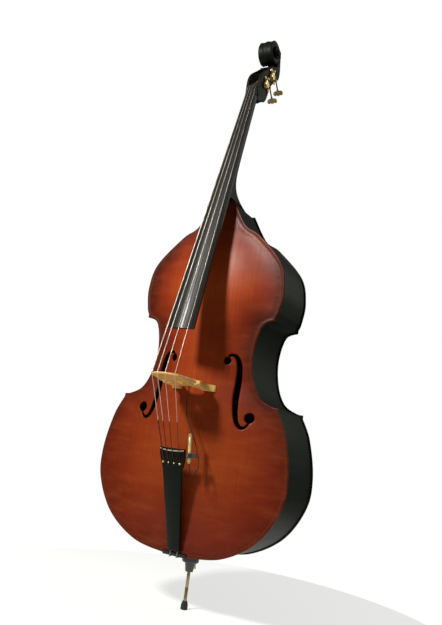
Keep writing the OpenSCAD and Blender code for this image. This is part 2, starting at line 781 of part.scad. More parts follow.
// Machine frame for string i: origin on the post's axis at the cheek's face, +Z out from the cheek,
// +X down along the worm shaft, the worm at +Y on one side and -Y on the other
module at_machine(i) {
    s = machine_side[i];
    translate([0, post_at[i][0], post_at[i][1]])
        mirror([s > 0 ? 0 : 1, 0, 0]) translate([pegbox_half, 0, 0]) rotate([-shaft_tilt, 0, 0])
            rotate([90, 0, 90]) children();
}
worm_h = worm_out - pegbox_half;

module machine_plate(i) {
    color([0.72, 0.55, 0.25]) at_machine(i) difference() {
        union() {
            linear_extrude(plate_thick) {
                translate([-20, centre_dist - 8]) square([42, 16]);
                for (x = [-20, 22]) translate([x, centre_dist]) circle(r = 8, $fn = 32);
                translate([-11, 0]) square([22, centre_dist]);
                circle(r = 11, $fn = 48);
            }
            for (x = [-ear_at, ear_at]) {
                translate([x - 3, centre_dist - 5, 0]) cube([6, 10, worm_h]);
                translate([x - 3, centre_dist, worm_h]) rotate([0, 90, 0]) cylinder(r = 5, h = 6, $fn = 32);
            }
        }
        translate([0, 0, -1]) cylinder(r = post_r + run_gap, h = 10, $fn = 32);
        translate([-40, centre_dist, worm_h]) rotate([0, 90, 0])
            cylinder(r = shaft_r + run_gap, h = 80, $fn = 24);
        for (x = [-24, 25]) translate([x, centre_dist, -1]) cylinder(r = 1.6, h = 10, $fn = 16);
    }
}
module machine_plate_e() { machine_plate(0); }
module machine_plate_a() { machine_plate(1); }
module machine_plate_d() { machine_plate(2); }
module machine_plate_g() { machine_plate(3); }

module plate_screws() {
    color([0.72, 0.55, 0.25]) for (i = [0 : 3]) at_machine(i)
        for (x = [-24, 25]) translate([x, centre_dist, plate_thick]) {
            cylinder(r1 = 3, r2 = 2, h = 1.4, $fn = 24);
            translate([0, 0, -plate_thick]) cylinder(r = 1.6, h = plate_thick, $fn = 16);
        }
}

module worm_shaft(i) {
    color([0.20, 0.19, 0.18]) at_machine(i) translate([0, centre_dist, worm_h]) rotate([0, 90, 0]) {
        translate([0, 0, -ear_at - 5]) cylinder(r = shaft_r, h = key_at + ear_at + 5, $fn = 24);
        translate([0, 0, -ear_at + 3.2]) cylinder(r = worm_r, h = 2 * ear_at - 6.4, $fn = 32);
    }
}
module worm_shaft_e() { worm_shaft(0); }
module worm_shaft_a() { worm_shaft(1); }
module worm_shaft_d() { worm_shaft(2); }
module worm_shaft_g() { worm_shaft(3); }

key_lobe = 9.5;
module key_button(i) {
    color([0.72, 0.55, 0.25]) at_machine(i) translate([key_at - 12, centre_dist, worm_h]) difference() {
        union() {
            rotate([0, 90, 0]) cylinder(r = 4.5, h = 14, $fn = 32);
            for (s = [-1, 1]) translate([12, 2.5, s * key_lobe]) rotate([90, 0, 0])
                cylinder(r = key_lobe, h = 5, $fn = 32);
            translate([12, 3, 0]) rotate([90, 0, 0]) cylinder(r = 7, h = 6, $fn = 32);
        }
        translate([-1, 0, 0]) rotate([0, 90, 0]) cylinder(r = shaft_r, h = 13, $fn = 24);
    }
}
module key_button_e() { key_button(0); }
module key_button_a() { key_button(1); }
module key_button_d() { key_button(2); }
module key_button_g() { key_button(3); }

gear_t = 5;
hub_r = 4;
module gear_2d() {
    root_r = gear_r - 1.8;
    pitch = 360 / gear_teeth;
    polygon([for (k = [0 : gear_teeth - 1])
        for (c = [[-0.30, root_r], [-0.16, gear_r], [0.16, gear_r], [0.30, root_r]])
            c[1] * [cos((k + c[0]) * pitch), sin((k + c[0]) * pitch)]]);
}
module gear(i) {
    color([0.72, 0.55, 0.25]) at_machine(i) translate([0, 0, worm_h - gear_t / 2]) linear_extrude(gear_t)
        difference() {
            gear_2d();
            circle(r = hub_r, $fn = 32);
        }
}
module gear_e() { gear(0); }
module gear_a() { gear(1); }
module gear_d() { gear(2); }
module gear_g() { gear(3); }

module string_post(i) {
    inner = 22.5 + pegbox_half;
    color([0.72, 0.55, 0.25]) at_machine(i) {
        translate([0, 0, -inner]) cylinder(r = post_r, h = inner + worm_h - gear_t / 2, $fn = 32);
        cylinder(r = hub_r, h = worm_h + gear_t / 2, $fn = 32);
        translate([0, 0, worm_h + gear_t / 2]) cylinder(r1 = 5, r2 = 4, h = 1.5, $fn = 32);
    }
}
module string_post_e() { string_post(0); }
module string_post_a() { string_post(1); }
module string_post_d() { string_post(2); }
module string_post_g() { string_post(3); }

top_plate();
back_plate();
rib_upper_bass();
rib_upper_treble();
rib_waist_bass();
rib_waist_treble();
rib_lower_bass();
rib_lower_treble();
top_linings();
back_linings();
corner_blocks();
neck_block();
end_block();
bass_bar();
sound_post();
neck_and_scroll();
fingerboard();
nut();
bridge();
saddle();
tailpiece();
tail_wire();
string_e();
string_a();
string_d();
string_g();
endpin_collar();
endpin_rod();
endpin_tip();
thumb_screw();
pickup_sensor();
pickup_lead();
pickup_jack();
jack_strap();
machine_plate_e();
machine_plate_a();
machine_plate_d();
machine_plate_g();
worm_shaft_e();
worm_shaft_a();
worm_shaft_d();
worm_shaft_g();
key_button_e();
key_button_a();
key_button_d();
key_button_g();
gear_e();
gear_a();
gear_d();
gear_g();
string_post_e();
string_post_a();
string_post_d();
string_post_g();
string_wraps_e();
string_wraps_a();
string_wraps_d();
string_wraps_g();
plate_screws();
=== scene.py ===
"""A three-quarter size double bass on its endpin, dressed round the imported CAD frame.

Shapes are worked out in millimetres in the CAD frame and become metres when a mesh is made.
"""
import math

import bmesh
import bpy
import numpy as np
from mathutils import Matrix, Vector
from mathutils.geometry import delaunay_2d_cdt


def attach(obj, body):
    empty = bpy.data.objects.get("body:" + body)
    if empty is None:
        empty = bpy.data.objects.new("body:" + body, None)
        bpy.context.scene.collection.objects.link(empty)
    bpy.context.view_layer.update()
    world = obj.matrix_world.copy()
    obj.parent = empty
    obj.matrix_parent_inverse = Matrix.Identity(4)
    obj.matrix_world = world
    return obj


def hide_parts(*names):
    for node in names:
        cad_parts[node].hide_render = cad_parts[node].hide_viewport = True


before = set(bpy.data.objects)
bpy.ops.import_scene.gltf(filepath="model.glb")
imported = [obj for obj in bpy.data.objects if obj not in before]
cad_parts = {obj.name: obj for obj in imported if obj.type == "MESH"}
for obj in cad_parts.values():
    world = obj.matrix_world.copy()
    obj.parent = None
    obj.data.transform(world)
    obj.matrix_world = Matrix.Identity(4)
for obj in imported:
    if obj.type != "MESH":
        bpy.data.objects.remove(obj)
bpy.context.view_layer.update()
MM = 0.001
FAR = 1e9
STRINGS = "eadg"


# ---------------------------------------------------------------- camera and light

CAMERA_AT = (1.0064, -1.7788, 0.4985)
YAW, PITCH, ROLL = 0.5210, 0.2025, 0.1388
LENS, SENSOR = 36.45, 36.0
FLOOR_R, FLOOR_SIDES = 0.85, 96
FLOOR_GLOW, WORLD_GLOW = 0.62, 0.13


def make_camera():
    """The camera stands low on the treble side, looks up at the bass and leans over a little."""
    data = bpy.data.cameras.new("camera")
    data.sensor_width, data.lens = SENSOR, LENS
    data.clip_start, data.clip_end = 0.05, 60
    camera = bpy.data.objects.new("camera", data)
    turn = Matrix.Rotation(YAW, 4, "Z") @ Matrix.Rotation(math.pi / 2 + PITCH, 4, "X")
    camera.matrix_world = Matrix.Translation(CAMERA_AT) @ turn @ Matrix.Rotation(ROLL, 4, "Z")
    bpy.context.scene.collection.objects.link(camera)
    bpy.context.scene.camera = camera


def area_light(name, at, aim, size, power, colour=(1, 1, 1)):
    data = bpy.data.lights.new(name, "AREA")
    data.shape = "RECTANGLE"
    data.size, data.size_y = size
    data.energy, data.color = power, colour
    light = bpy.data.objects.new(name, data)
    light.location = at
    light.rotation_mode = "QUATERNION"
    light.rotation_quaternion = (Vector(aim) - Vector(at)).to_track_quat("-Z", "Y")
    bpy.context.scene.collection.objects.link(light)


def make_studio():
    bpy.context.scene.view_settings.view_transform = "Standard"
    world = bpy.data.worlds.new("studio")
    bpy.context.scene.world = world
    world.use_nodes = True
    nodes, links = world.node_tree.nodes, world.node_tree.links
    nodes.clear()
    out = nodes.new("ShaderNodeOutputWorld")
    mix = nodes.new("ShaderNodeMixShader")
    path = nodes.new("ShaderNodeLightPath")
    for slot, colour, strength in ((1, (0.86, 0.90, 0.80, 1), WORLD_GLOW), (2, (1, 1, 1, 1), 1.0)):
        glow = nodes.new("ShaderNodeBackground")
        glow.inputs["Color"].default_value = colour
        glow.inputs["Strength"].default_value = strength
        links.new(glow.outputs[0], mix.inputs[slot])
    links.new(path.outputs["Is Camera Ray"], mix.inputs[0])
    links.new(mix.outputs[0], out.inputs[0])

    mesh = bpy.data.meshes.new("floor")
    turn = 2 * math.pi / FLOOR_SIDES
    rim = [(FLOOR_R * math.cos(turn * k), FLOOR_R * math.sin(turn * k), 0) for k in range(FLOOR_SIDES)]
    mesh.from_pydata(rim, [], [tuple(range(FLOOR_SIDES))])
    floor = bpy.data.objects.new("floor", mesh)
    bpy.context.scene.collection.objects.link(floor)
    paint = Paint("floor_paint").set(Base_Color=(0.60, 0.60, 0.595, 1), Roughness=0.75)
    paint.set(Emission_Color=(1, 1, 1, 1), Emission_Strength=FLOOR_GLOW)
    mesh.materials.append(paint.material)

    area_light("key", (-0.80, -2.30, 2.35), (0, 0, 0.95), (0.40, 0.40), 84, (1.0, 0.97, 0.93))
    area_light("fill", (2.6, -2.2, 1.6), (0, 0, 0.8), (1.6, 2.2), 8, (0.97, 1.0, 0.92))
    area_light("rim", (2.2, 2.0, 2.4), (0, 0, 1.0), (1.0, 2.2), 28, (0.96, 1.0, 0.92))


# ---------------------------------------------------------------- materials

BLACK, WHITE = (0, 0, 0), (1, 1, 1)
# Height in metres where a string's silk ends
SILK_TOP = 0.540
# Where the two dark lines of the purfling start and end, as fractions of a span in millimetres from the rim
PURFLING_SPAN = 12.0
PURFLING_LINES = (0.57, 0.63, 0.74, 0.80)


class Paint:
    """A Principled material with short ways to add nodes."""

    def __init__(self, name):
        self.material = bpy.data.materials.new(name)
        self.material.use_nodes = True
        self.tree = self.material.node_tree
        self.shader = self.tree.nodes["Principled BSDF"]

    def node(self, kind, inputs=None, **settings):
        n = self.tree.nodes.new(kind)
        for key, value in settings.items():
            setattr(n, key, value)
        for key, value in (inputs or {}).items():
            self.feed(n.inputs[key], value)
        return n

    def feed(self, socket, value):
        if isinstance(value, bpy.types.NodeSocket):
            self.tree.links.new(value, socket)
        else:
            socket.default_value = value

    def set(self, **inputs):
        for key, value in inputs.items():
            self.feed(self.shader.inputs[key.replace("_", " ")], value)
        return self

    def stretched(self, scale):
        """Object coordinates, scaled along each axis, for grain that runs one way."""
        where = self.node("ShaderNodeTexCoord")
        return self.node("ShaderNodeMapping", {"Vector": where.outputs["Object"], "Scale": scale}).outputs[0]

    def noise(self, scale, size, detail=4.0, rough=0.55):
        inputs = {"Vector": self.stretched(scale), "Scale": size, "Detail": detail, "Roughness": rough}
        return self.node("ShaderNodeTexNoise", inputs).outputs["Fac"]

    def ramp(self, value, *stops):
        n = self.node("ShaderNodeValToRGB", {"Fac": value})
        while len(n.color_ramp.elements) < len(stops):
            n.color_ramp.elements.new(0.5)
        for element, (position, colour) in zip(n.color_ramp.elements, stops):
            element.position = position
            element.color = (*colour, 1) if len(colour) == 3 else colour
        return n.outputs["Color"]

    def bands(self, value, *steps):
        """White from each odd step to the even one after it and black elsewhere, with short blends."""
        stops = [(0.0, BLACK)]
        for k, step in enumerate(steps):
            before, after = (WHITE, BLACK) if k % 2 else (BLACK, WHITE)
            stops += [(step - 0.005, before), (step + 0.005, after)]
        return self.ramp(value, *stops)

    def spread(self, value, low, high, to_low=0.0, to_high=1.0):
        inputs = {"Value": value, "From Min": low, "From Max": high, "To Min": to_low, "To Max": to_high}
        return self.node("ShaderNodeMapRange", inputs).outputs["Result"]

    def mix(self, factor, a, b):
        n = self.node("ShaderNodeMix", data_type="RGBA")
        self.feed(n.inputs[0], factor)
        self.feed(n.inputs[6], a if isinstance(a, bpy.types.NodeSocket) else (*a, 1))
        self.feed(n.inputs[7], b if isinstance(b, bpy.types.NodeSocket) else (*b, 1))
        return n.outputs[2]

    def bump(self, height, strength, distance):
        inputs = {"Height": height, "Strength": strength, "Distance": distance}
        self.set(Normal=self.node("ShaderNodeBump", inputs).outputs[0])
        return self


def grain_wood(name, pale, dark, scale, rough, coat=0.0, lift=0.15, shine=0.5):
    """Wood with grain drawn out along one axis, fine pores and a little unevenness."""
    p = Paint(name)
    broad = p.noise(scale, 9.0)
    fine = p.noise(tuple(s * 6 for s in scale), 14.0, 2.0)
    colour = p.mix(p.spread(broad, 0.3, 0.7), dark, pale)
    colour = p.mix(p.spread(fine, 0.35, 0.75, 0.0, 0.35), colour, tuple(c * 0.55 for c in dark))
    p.set(Base_Color=colour, Roughness=p.spread(fine, 0.2, 0.8, rough - 0.06, rough + 0.10))
    p.set(Coat_Weight=coat, Coat_Roughness=0.08, Specular_IOR_Level=shine)
    p.bump(fine, lift, 0.0004)
    return p.material


def top_varnish():
    """Orange-red sunburst that darkens towards the edge, with painted shade that darkens the lower part, over
    upright grain, with inlaid purfling.
    """
    p = Paint("top_varnish")
    edge = p.node("ShaderNodeAttribute", attribute_name="edge_mm").outputs["Fac"]
    cloud = p.noise((1, 1, 1), 5.0, 3.0)
    drift = p.spread(cloud, 0.3, 0.7, -26, 26)
    uneven = p.node("ShaderNodeMath", {0: edge, 1: drift}, operation="ADD").outputs[0]
    burst_and_shade = p.ramp(
        p.spread(uneven, 0, 235),
        (0.0, (0.055, 0.007, 0.003)), (0.09, (0.110, 0.012, 0.004)), (0.26, (0.250, 0.029, 0.007)),
        (0.60, (0.430, 0.062, 0.011)), (1.0, (0.540, 0.096, 0.017)))
    height = p.node("ShaderNodeSeparateXYZ", {0: p.node("ShaderNodeTexCoord").outputs["Object"]}).outputs["Z"]
    # Painted shade: the colour darkens from Z 1.00 m down to Z 0.32 m, standing in for the light falling off
    # towards the lower bout
    burst_and_shade = p.mix(p.spread(height, 1.00, 0.32, 0.0, 0.70), burst_and_shade, (0.130, 0.014, 0.004))
    grain = p.noise((260, 40, 3.5), 1.0, 3.0)
    curl = p.noise((7, 3, 26), 1.6, 2.0)
    burst_and_shade = p.mix(p.spread(grain, 0.35, 0.75, 0.0, 0.30), burst_and_shade, (0.110, 0.014, 0.006))
    burst_and_shade = p.mix(p.spread(curl, 0.45, 0.75, 0.0, 0.10), burst_and_shade, (0.60, 0.150, 0.035))
    line = p.bands(p.spread(edge, 0, PURFLING_SPAN), *PURFLING_LINES)
    inlay = p.bands(p.spread(edge, 0, PURFLING_SPAN), PURFLING_LINES[1] + 0.005, PURFLING_LINES[2] - 0.005)
    colour = p.mix(inlay, burst_and_shade, (0.16, 0.055, 0.020))
    colour = p.mix(line, colour, (0.012, 0.008, 0.006))
    p.set(Base_Color=colour, Roughness=p.spread(grain, 0.2, 0.8, 0.30, 0.42))
    p.set(Coat_Weight=0.06, Coat_Roughness=p.spread(cloud, 0.2, 0.8, 0.22, 0.34), Specular_IOR_Level=0.08)
    p.bump(grain, 0.05, 0.0004)
    return p.material


def dark_varnish():
    """Near black stain under gloss, with a trace of flame and green-brown where it's worn thin."""
    p = Paint("dark_varnish")
    cloud = p.noise((1, 1, 1), 6.0, 4.0)
    flame = p.noise((5, 5, 40), 1.5, 3.0)
    colour = p.mix(p.spread(cloud, 0.3, 0.7), (0.003, 0.004, 0.002), (0.007, 0.010, 0.005))
    colour = p.mix(p.spread(flame, 0.45, 0.8, 0.0, 0.5), colour, (0.014, 0.019, 0.009))
    p.set(Base_Color=colour, Roughness=0.50, Specular_IOR_Level=0.14, Coat_Weight=0.01)
    p.set(Coat_Roughness=p.spread(cloud, 0.2, 0.8, 0.10, 0.22))
    p.bump(flame, 0.04, 0.0005)
    return p.material


def metal(name, base, tarnish, rough, brushed=(30, 30, 30), metallic=1.0):
    p = Paint(name)
    patina = p.noise((1, 1, 1), 60.0, 5.0)
    brush = p.noise(brushed, 12.0, 3.0)
    p.set(Base_Color=p.mix(p.spread(patina, 0.40, 0.72), base, tarnish), Metallic=metallic)
    p.set(Roughness=p.spread(brush, 0.2, 0.8, rough - 0.08, rough + 0.14))
    p.bump(brush, 0.08, 0.0002)
    return p.material


def wound_string():
    """Flat steel ribbon wound tightly round a core, with dark red silk over the tailpiece end."""
    p = Paint("string_steel")
    where = p.node("ShaderNodeTexCoord").outputs["Object"]
    wave = p.node("ShaderNodeTexWave", {"Vector": where, "Scale": 420.0, "Distortion": 0.0},
                  wave_type="BANDS", bands_direction="Z")
    handled = p.noise((1, 1, 1), 8.0, 3.0)
    steel = p.mix(p.spread(handled, 0.35, 0.7), (0.88, 0.77, 0.68), (0.68, 0.56, 0.47))
    height = p.node("ShaderNodeSeparateXYZ", {0: where}).outputs["Z"]
    bare = p.spread(height, SILK_TOP - 0.001, SILK_TOP + 0.001)
    p.set(Base_Color=p.mix(bare, (0.085, 0.010, 0.006), steel), Metallic=bare)
    p.set(Roughness=p.spread(bare, 0, 1, 0.85, 0.34))
    p.bump(wave.outputs["Fac"], 0.35, 0.0003)
    return p.material


def dull(name, base, worn, rough, size, lift):
    """Rubber, plastic and sheathing: a fine pebble and slight wear."""
    p = Paint(name)
    wear = p.noise((1, 1, 1), 25.0, 4.0)
    pebble = p.noise((1, 1, 1), size, 2.0)
    p.set(Base_Color=p.mix(p.spread(wear, 0.45, 0.8), base, worn))
    p.set(Roughness=p.spread(wear, 0.2, 0.8, rough - 0.07, rough + 0.1))
    p.bump(pebble, lift, 0.0003)
    return p.material


def woven(name, base, light):
    """Hook-and-loop tape: a close weave of two crossing sets of threads."""
    p = Paint(name)
    where = p.node("ShaderNodeTexCoord").outputs["Object"]
    warp = p.node("ShaderNodeTexWave", {"Vector": where, "Scale": 260.0}, bands_direction="X")
    weft = p.node("ShaderNodeTexWave", {"Vector": where, "Scale": 260.0}, bands_direction="Z")
    cross = p.node("ShaderNodeMath", {0: warp.outputs["Fac"], 1: weft.outputs["Fac"]}, operation="MAXIMUM")
    p.set(Base_Color=p.mix(cross.outputs[0], base, light), Roughness=0.9, Sheen_Weight=0.4)
    p.bump(cross.outputs[0], 0.6, 0.0004)
    return p.material


def make_materials():
    """One material for each slot of the record, and a pale one for the fret in the tailpiece."""
    along_z = (40, 40, 2.5)
    across = (2.5, 30, 30)
    woods = {
        "inner_wood": ((0.58, 0.42, 0.24), (0.44, 0.29, 0.15), along_z, 0.7),
        "spruce": ((0.68, 0.52, 0.31), (0.52, 0.36, 0.19), along_z, 0.65),
        "ebony": ((0.028, 0.031, 0.027), (0.012, 0.013, 0.011), along_z, 0.40, 0.08, 0.08, 0.3),
        "tailpiece_black": ((0.006, 0.009, 0.005), (0.002, 0.004, 0.002), along_z, 0.42, 0.0, 0.05, 0.12),
        "collar_black": ((0.018, 0.018, 0.017), (0.008, 0.008, 0.008), along_z, 0.36, 0.4, 0.05),
        "bridge_maple": ((0.96, 0.62, 0.19), (0.76, 0.42, 0.09), across, 0.42, 0.2, 0.12),
        "fret_pale": ((0.52, 0.45, 0.36), (0.40, 0.33, 0.25), across, 0.35, 0.3, 0.05),
    }
    metals = {
        "wire": ((0.45, 0.44, 0.42), (0.30, 0.29, 0.27), 0.38),
        "bronze": ((0.42, 0.30, 0.17), (0.24, 0.16, 0.09), 0.34, (40, 40, 8)),
        "brass": ((0.92, 0.70, 0.32), (0.64, 0.44, 0.17), 0.36, (30, 30, 30), 0.8),
        "dark_steel": ((0.16, 0.15, 0.14), (0.08, 0.07, 0.06), 0.36),
    }
    soft = {
        "rubber": ((0.012, 0.012, 0.012), (0.030, 0.029, 0.027), 0.72, 900.0, 0.25),
        "sensor_black": ((0.015, 0.015, 0.016), (0.032, 0.032, 0.032), 0.55, 1400.0, 0.15),
        "lead_sheath": ((0.009, 0.007, 0.007), (0.018, 0.014, 0.013), 0.60, 1200.0, 0.12),
    }
    made = {
        "top_varnish": top_varnish(),
        "dark_varnish": dark_varnish(),
        "string_steel": wound_string(),
        "strap": woven("strap", (0.010, 0.010, 0.010), (0.030, 0.030, 0.030)),
    }
    for maker, looks in ((grain_wood, woods), (metal, metals), (dull, soft)):
        made.update({name: maker(name, *look) for name, look in looks.items()})
    return made


# ---------------------------------------------------------------- mesh tools


def finish_mesh(b, mesh, sharp):
    """Turns the faces outwards, shades them smooth and marks edges over the sharp angle."""
    bmesh.ops.recalc_face_normals(b, faces=b.faces)
    if b.calc_volume(signed=True) < 0:
        bmesh.ops.reverse_faces(b, faces=b.faces)
    for face in b.faces:
        face.smooth = True
    for edge in b.edges:
        edge.smooth = len(edge.link_faces) == 2 and edge.calc_face_angle(0) < math.radians(sharp)
    b.to_mesh(mesh)
    b.free()


def piece(name, verts, faces, slot, body="root", stands_for=(), sharp=32.0, values=None, paint=None):
    """A mesh piece from points in millimetres, riding on a body.

    Its paint is its record slot's material, or the one named by paint.
    """
    mesh = bpy.data.meshes.new(name)
    corners = [tuple(v) for v in np.asarray(verts, float) * MM]
    mesh.from_pydata(corners, [], [tuple(int(i) for i in f) for f in faces])
    mesh.update()
    if values is not None:
        layer = mesh.attributes.new("edge_mm", "FLOAT", "POINT")
        layer.data.foreach_set("value", np.asarray(values, np.float32))
    b = bmesh.new()
    b.from_mesh(mesh)
    finish_mesh(b, mesh, sharp)
    obj = bpy.data.objects.new(name, mesh)
    bpy.context.scene.collection.objects.link(obj)
    mesh.materials.append(MATERIALS[paint or slot])
    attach(obj, body)
    if stands_for:
        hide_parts(*([stands_for] if isinstance(stands_for, str) else stands_for))
    return obj


def smooth(points, steps):
    """Catmull-Rom curve through the points, which repeats its ends, as the CAD does."""
    p = np.array(points, float)
    last = len(p) - 1
    out = []
    for i in range(last):
        a, b, c, d = p[max(i - 1, 0)], p[i], p[i + 1], p[min(i + 2, last)]
        for t in np.arange(steps) / steps:
            out.append(0.5 * (2 * b + (c - a) * t + (2 * a - 5 * b + 4 * c - d) * t ** 2
                              + (3 * b - a - 3 * c + d) * t ** 3))
    out.append(p[last])
    return np.array(out)


def mirrored(points):
    """The points in reverse order on the other side of X = 0."""
    return [(-x, *rest) for x, *rest in points[::-1]]


def loft(rings, closed=True, caps=True):
    """Points and faces of a skin over equal rings."""
    rows, n = len(rings), len(rings[0])
    verts = np.concatenate([np.asarray(r, float) for r in rings])
    faces = []
    for i in range(rows - 1):
        for k in range(n if closed else n - 1):
            q = (k + 1) % n
            faces.append((i * n + k, i * n + q, (i + 1) * n + q, (i + 1) * n + k))
    if caps:
        faces += [tuple(range(n))[::-1], tuple((rows - 1) * n + k for k in range(n))]
    return verts, faces


def lathe(profile, segments=64, closed=True):
    """A profile of (radius, height) turned about Z. An open one has both its ends on the axis."""
    rings = []
    for k in range(segments):
        a = 2 * math.pi * k / segments
        rings.append([(r * math.cos(a), r * math.sin(a), z) for r, z in profile])
    verts, faces = loft(rings + [rings[0]], closed, caps=False)
    count = segments * len(profile)
    return verts[:count], [tuple(i % count for i in f) for f in faces]


def helix(x0, x1, radius, turns, steps, start=0.0):
    """A screw line about the X axis. It turns the other way if turns is negative."""
    t = np.arange(steps + 1) / steps
    a = start + t * turns * 2 * math.pi
    return np.stack([x0 + (x1 - x0) * t, radius * np.cos(a), radius * np.sin(a)], 1)


def tube(path, radius, sides=12):
    """A round tube along a path, with the rings kept from twisting. The radius may vary."""
    p = np.array(path, float)
    radii = np.broadcast_to(np.asarray(radius, float), (len(p),))
    tangents = np.gradient(p, axis=0)
    tangents /= np.linalg.norm(tangents, axis=1)[:, None]
    side = np.cross(tangents[0], (0.31, 0.86, 0.40))
    rings = []
    angles = np.arange(sides) * 2 * math.pi / sides
    for point, t, r in zip(p, tangents, radii):
        side = side - t * np.dot(side, t)
        side /= np.linalg.norm(side)
        other = np.cross(t, side)
        rings.append(point + r * (np.outer(np.cos(angles), side) + np.outer(np.sin(angles), other)))
    return loft(rings)


def join(*parts):
    """Several (points, faces) as one."""
    verts, faces, start = [], [], 0
    for v, f in parts:
        verts.append(np.asarray(v, float))
        faces += [tuple(i + start for i in g) for g in f]
        start += len(v)
    return np.concatenate(verts), faces


def placed(part, matrix):
    """(points, faces) moved by a 4x4 whose units are millimetres."""
    m = np.array(matrix)
    v = np.asarray(part[0], float)
    return v @ m[:3, :3].T + m[:3, 3], part[1]


def distance_to(points, loop):
    """Distance from each point to a closed loop, in the plane."""
    a = np.asarray(loop, float)
    best = np.full(len(points), FAR)
    for p, q in zip(a, np.roll(a, -1, axis=0)):
        d = q - p
        t = np.clip(((points - p) @ d) / max(d @ d, 1e-12), 0, 1)
        best = np.minimum(best, np.linalg.norm(points - p - t[:, None] * d, axis=1))
    return best


def inside(points, loop):
    """Which points are inside a closed loop."""
    x, y = points[:, 0], points[:, 1]
    result = np.zeros(len(points), bool)
    a = np.asarray(loop, float)
    for (x0, y0), (x1, y1) in zip(a, np.roll(a, -1, axis=0)):
        if y0 == y1:
            continue
        crosses = (y0 > y) != (y1 > y)
        result ^= crosses & (x < (x1 - x0) * (y - y0) / (y1 - y0) + x0)
    return result


def inset(loop, d, keep=0.97):
    """The loop moved inwards, or outwards if d is negative, without stretches that would cross."""
    p = np.asarray(loop, float)
    t = np.roll(p, -1, axis=0) - np.roll(p, 1, axis=0)
    t /= np.linalg.norm(t, axis=1)[:, None]
    normal = np.stack([-t[:, 1], t[:, 0]], axis=1)
    if not inside(p[:1] + normal[:1] * 0.2, p)[0]:
        normal = -normal
    q = p + normal * d
    return q[distance_to(q, p) > abs(d) * keep]


def triangles(loops, loose, tolerance):
    """Points, triangles that keep to the closed loops, and the middle of each triangle."""
    coords, edges = [], []
    for loop in loops:
        start = len(coords)
        coords += list(loop)
        edges += [(start + k, start + (k + 1) % len(loop)) for k in range(len(loop))]
    coords += list(loose)
    made = delaunay_2d_cdt([Vector(c) for c in coords], edges, [], 0, tolerance, False)
    flat = np.array([(v.x, v.y) for v in made[0]])
    tris = np.array(made[2])
    return flat, tris, flat[tris].mean(axis=1)


def rim_edges(tris):
    """The edges that only one triangle has, in its direction."""
    edges = {e: None for a, b, c in tris for e in ((a, b), (b, c), (c, a))}
    return [(a, b) for a, b in edges if (b, a) not in edges]


ROW_HEIGHT = 0.866


def slab(outer, holes, spacing, front, back, rounding, hole_rounding=()):
    """A plate between two surfaces over a flat outline with holes, and each point's distance to the rim.

    front and back take (x, z, distance to the outline, distance to the nearest hole) and give y.
    rounding and hole_rounding list the distances where rings of points shape a rounded edge.
    """
    outer = np.asarray(outer, float)
    holes = [np.asarray(h, float) for h in holes]
    loose = [inset(outer, d) for d in rounding]
    loose += [inset(hole, -d) for d in hole_rounding for hole in holes]
    lo, hi = outer.min(0), outer.max(0)
    xs = np.arange(math.ceil(lo[0] / spacing) * spacing, hi[0], spacing)
    zs = np.arange(lo[1], hi[1], spacing * ROW_HEIGHT)
    grid = np.array([(x + (spacing / 2 if i % 2 else 0), z) for i, z in enumerate(zs) for x in xs])

    def on_plate(points):
        return inside(points, outer) & ~np.any([inside(points, hole) for hole in holes], axis=0)

    def distances(points):
        to_holes = [distance_to(points, hole) for hole in holes]
        return distance_to(points, outer), np.min(to_holes + [np.full(len(points), FAR)], axis=0)

    rim, hole_rim = distances(grid)
    off_rim = rim > max(rounding) + spacing * 0.45
    off_holes = hole_rim > max(hole_rounding, default=0) + spacing * 0.35
    loose.append(grid[on_plate(grid) & off_rim & off_holes])
    flat, tris, centres = triangles([outer] + holes, np.concatenate(loose), 1e-4)
    used, tris = np.unique(tris[on_plate(centres)], return_inverse=True)
    flat = flat[used]
    tris = [tuple(int(i) for i in t) for t in tris.reshape(-1, 3)]
    rim, hole_rim = distances(flat)
    x, z = flat[:, 0], flat[:, 1]
    n = len(flat)
    sides = [np.stack([x, face(x, z, rim, hole_rim), z], 1) for face in (front, back)]
    faces = tris + [(c + n, b + n, a + n) for a, b, c in tris]
    faces += [(b, a, a + n, b + n) for a, b in rim_edges(tris)]
    return np.concatenate(sides), faces, np.concatenate([rim, rim])


def wing(half, step, spacing, face, rounding):
    """A small wing, the same on both faces and both sides of X = 0. face gives y at its front."""
    outline = smooth(half, 6)
    loop = list(outline) + mirrored(outline)[1:-1]

    def back(*where):
        return -face(*where)

    return slab(resample_keep(loop, step), [], spacing, face, back, rounding)[:2]


def round_over(d, r):
    """How far a rounded edge of radius r falls back at distance d from the rim."""
    t = np.clip((r - d) / r, 0, 1)
    return r * (1 - np.sqrt(1 - t ** 2))


def circle(x, z, r, n=40):
    a = np.arange(n) * 2 * math.pi / n
    return np.stack([x + r * np.cos(a), z + r * np.sin(a)], 1)


def even(line, steps):
    """The open line as a set number of even steps."""
    s = np.concatenate([[0], np.cumsum(np.linalg.norm(np.diff(line, axis=0), axis=1))])
    at = np.linspace(0, s[-1], steps + 1)
    return np.stack([np.interp(at, s, line[:, k]) for k in range(line.shape[1])], 1)


def resample(loop, step):
    """The closed loop with points about one step apart."""
    line = np.concatenate([loop, loop[:1]])
    around = np.linalg.norm(np.diff(line, axis=0), axis=1).sum()
    return even(line, max(3, int(round(around / step))))[:-1]


def resample_keep(loop, step):
    """The loop with long sides divided, and every given point kept."""
    p = [np.array(v, float) for v in loop]
    out = []
    for a, b in zip(p, p[1:] + p[:1]):
        n = max(1, int(np.linalg.norm(b - a) / step))
        out += [a + (b - a) * k / n for k in range(n)]
    return np.array(out)


def tilted(angle, at):
    """A 4x4 that turns about X, then moves."""
    c, s = math.cos(angle), math.sin(angle)
    return Matrix(((1, 0, 0, at[0]), (0, c, -s, at[1]), (0, s, c, at[2]), (0, 0, 0, 1)))


def reordered(part, order, shift):
    """(points, faces) with the axes in another order, then moved."""
    return np.asarray(part[0], float)[:, order] + shift, part[1]


def turned_x(part):
    """A lathe about Z laid along +X."""
    verts, faces = reordered(part, (2, 1, 0), 0)
    return verts * (1, 1, -1), faces


# ---------------------------------------------------------------- body

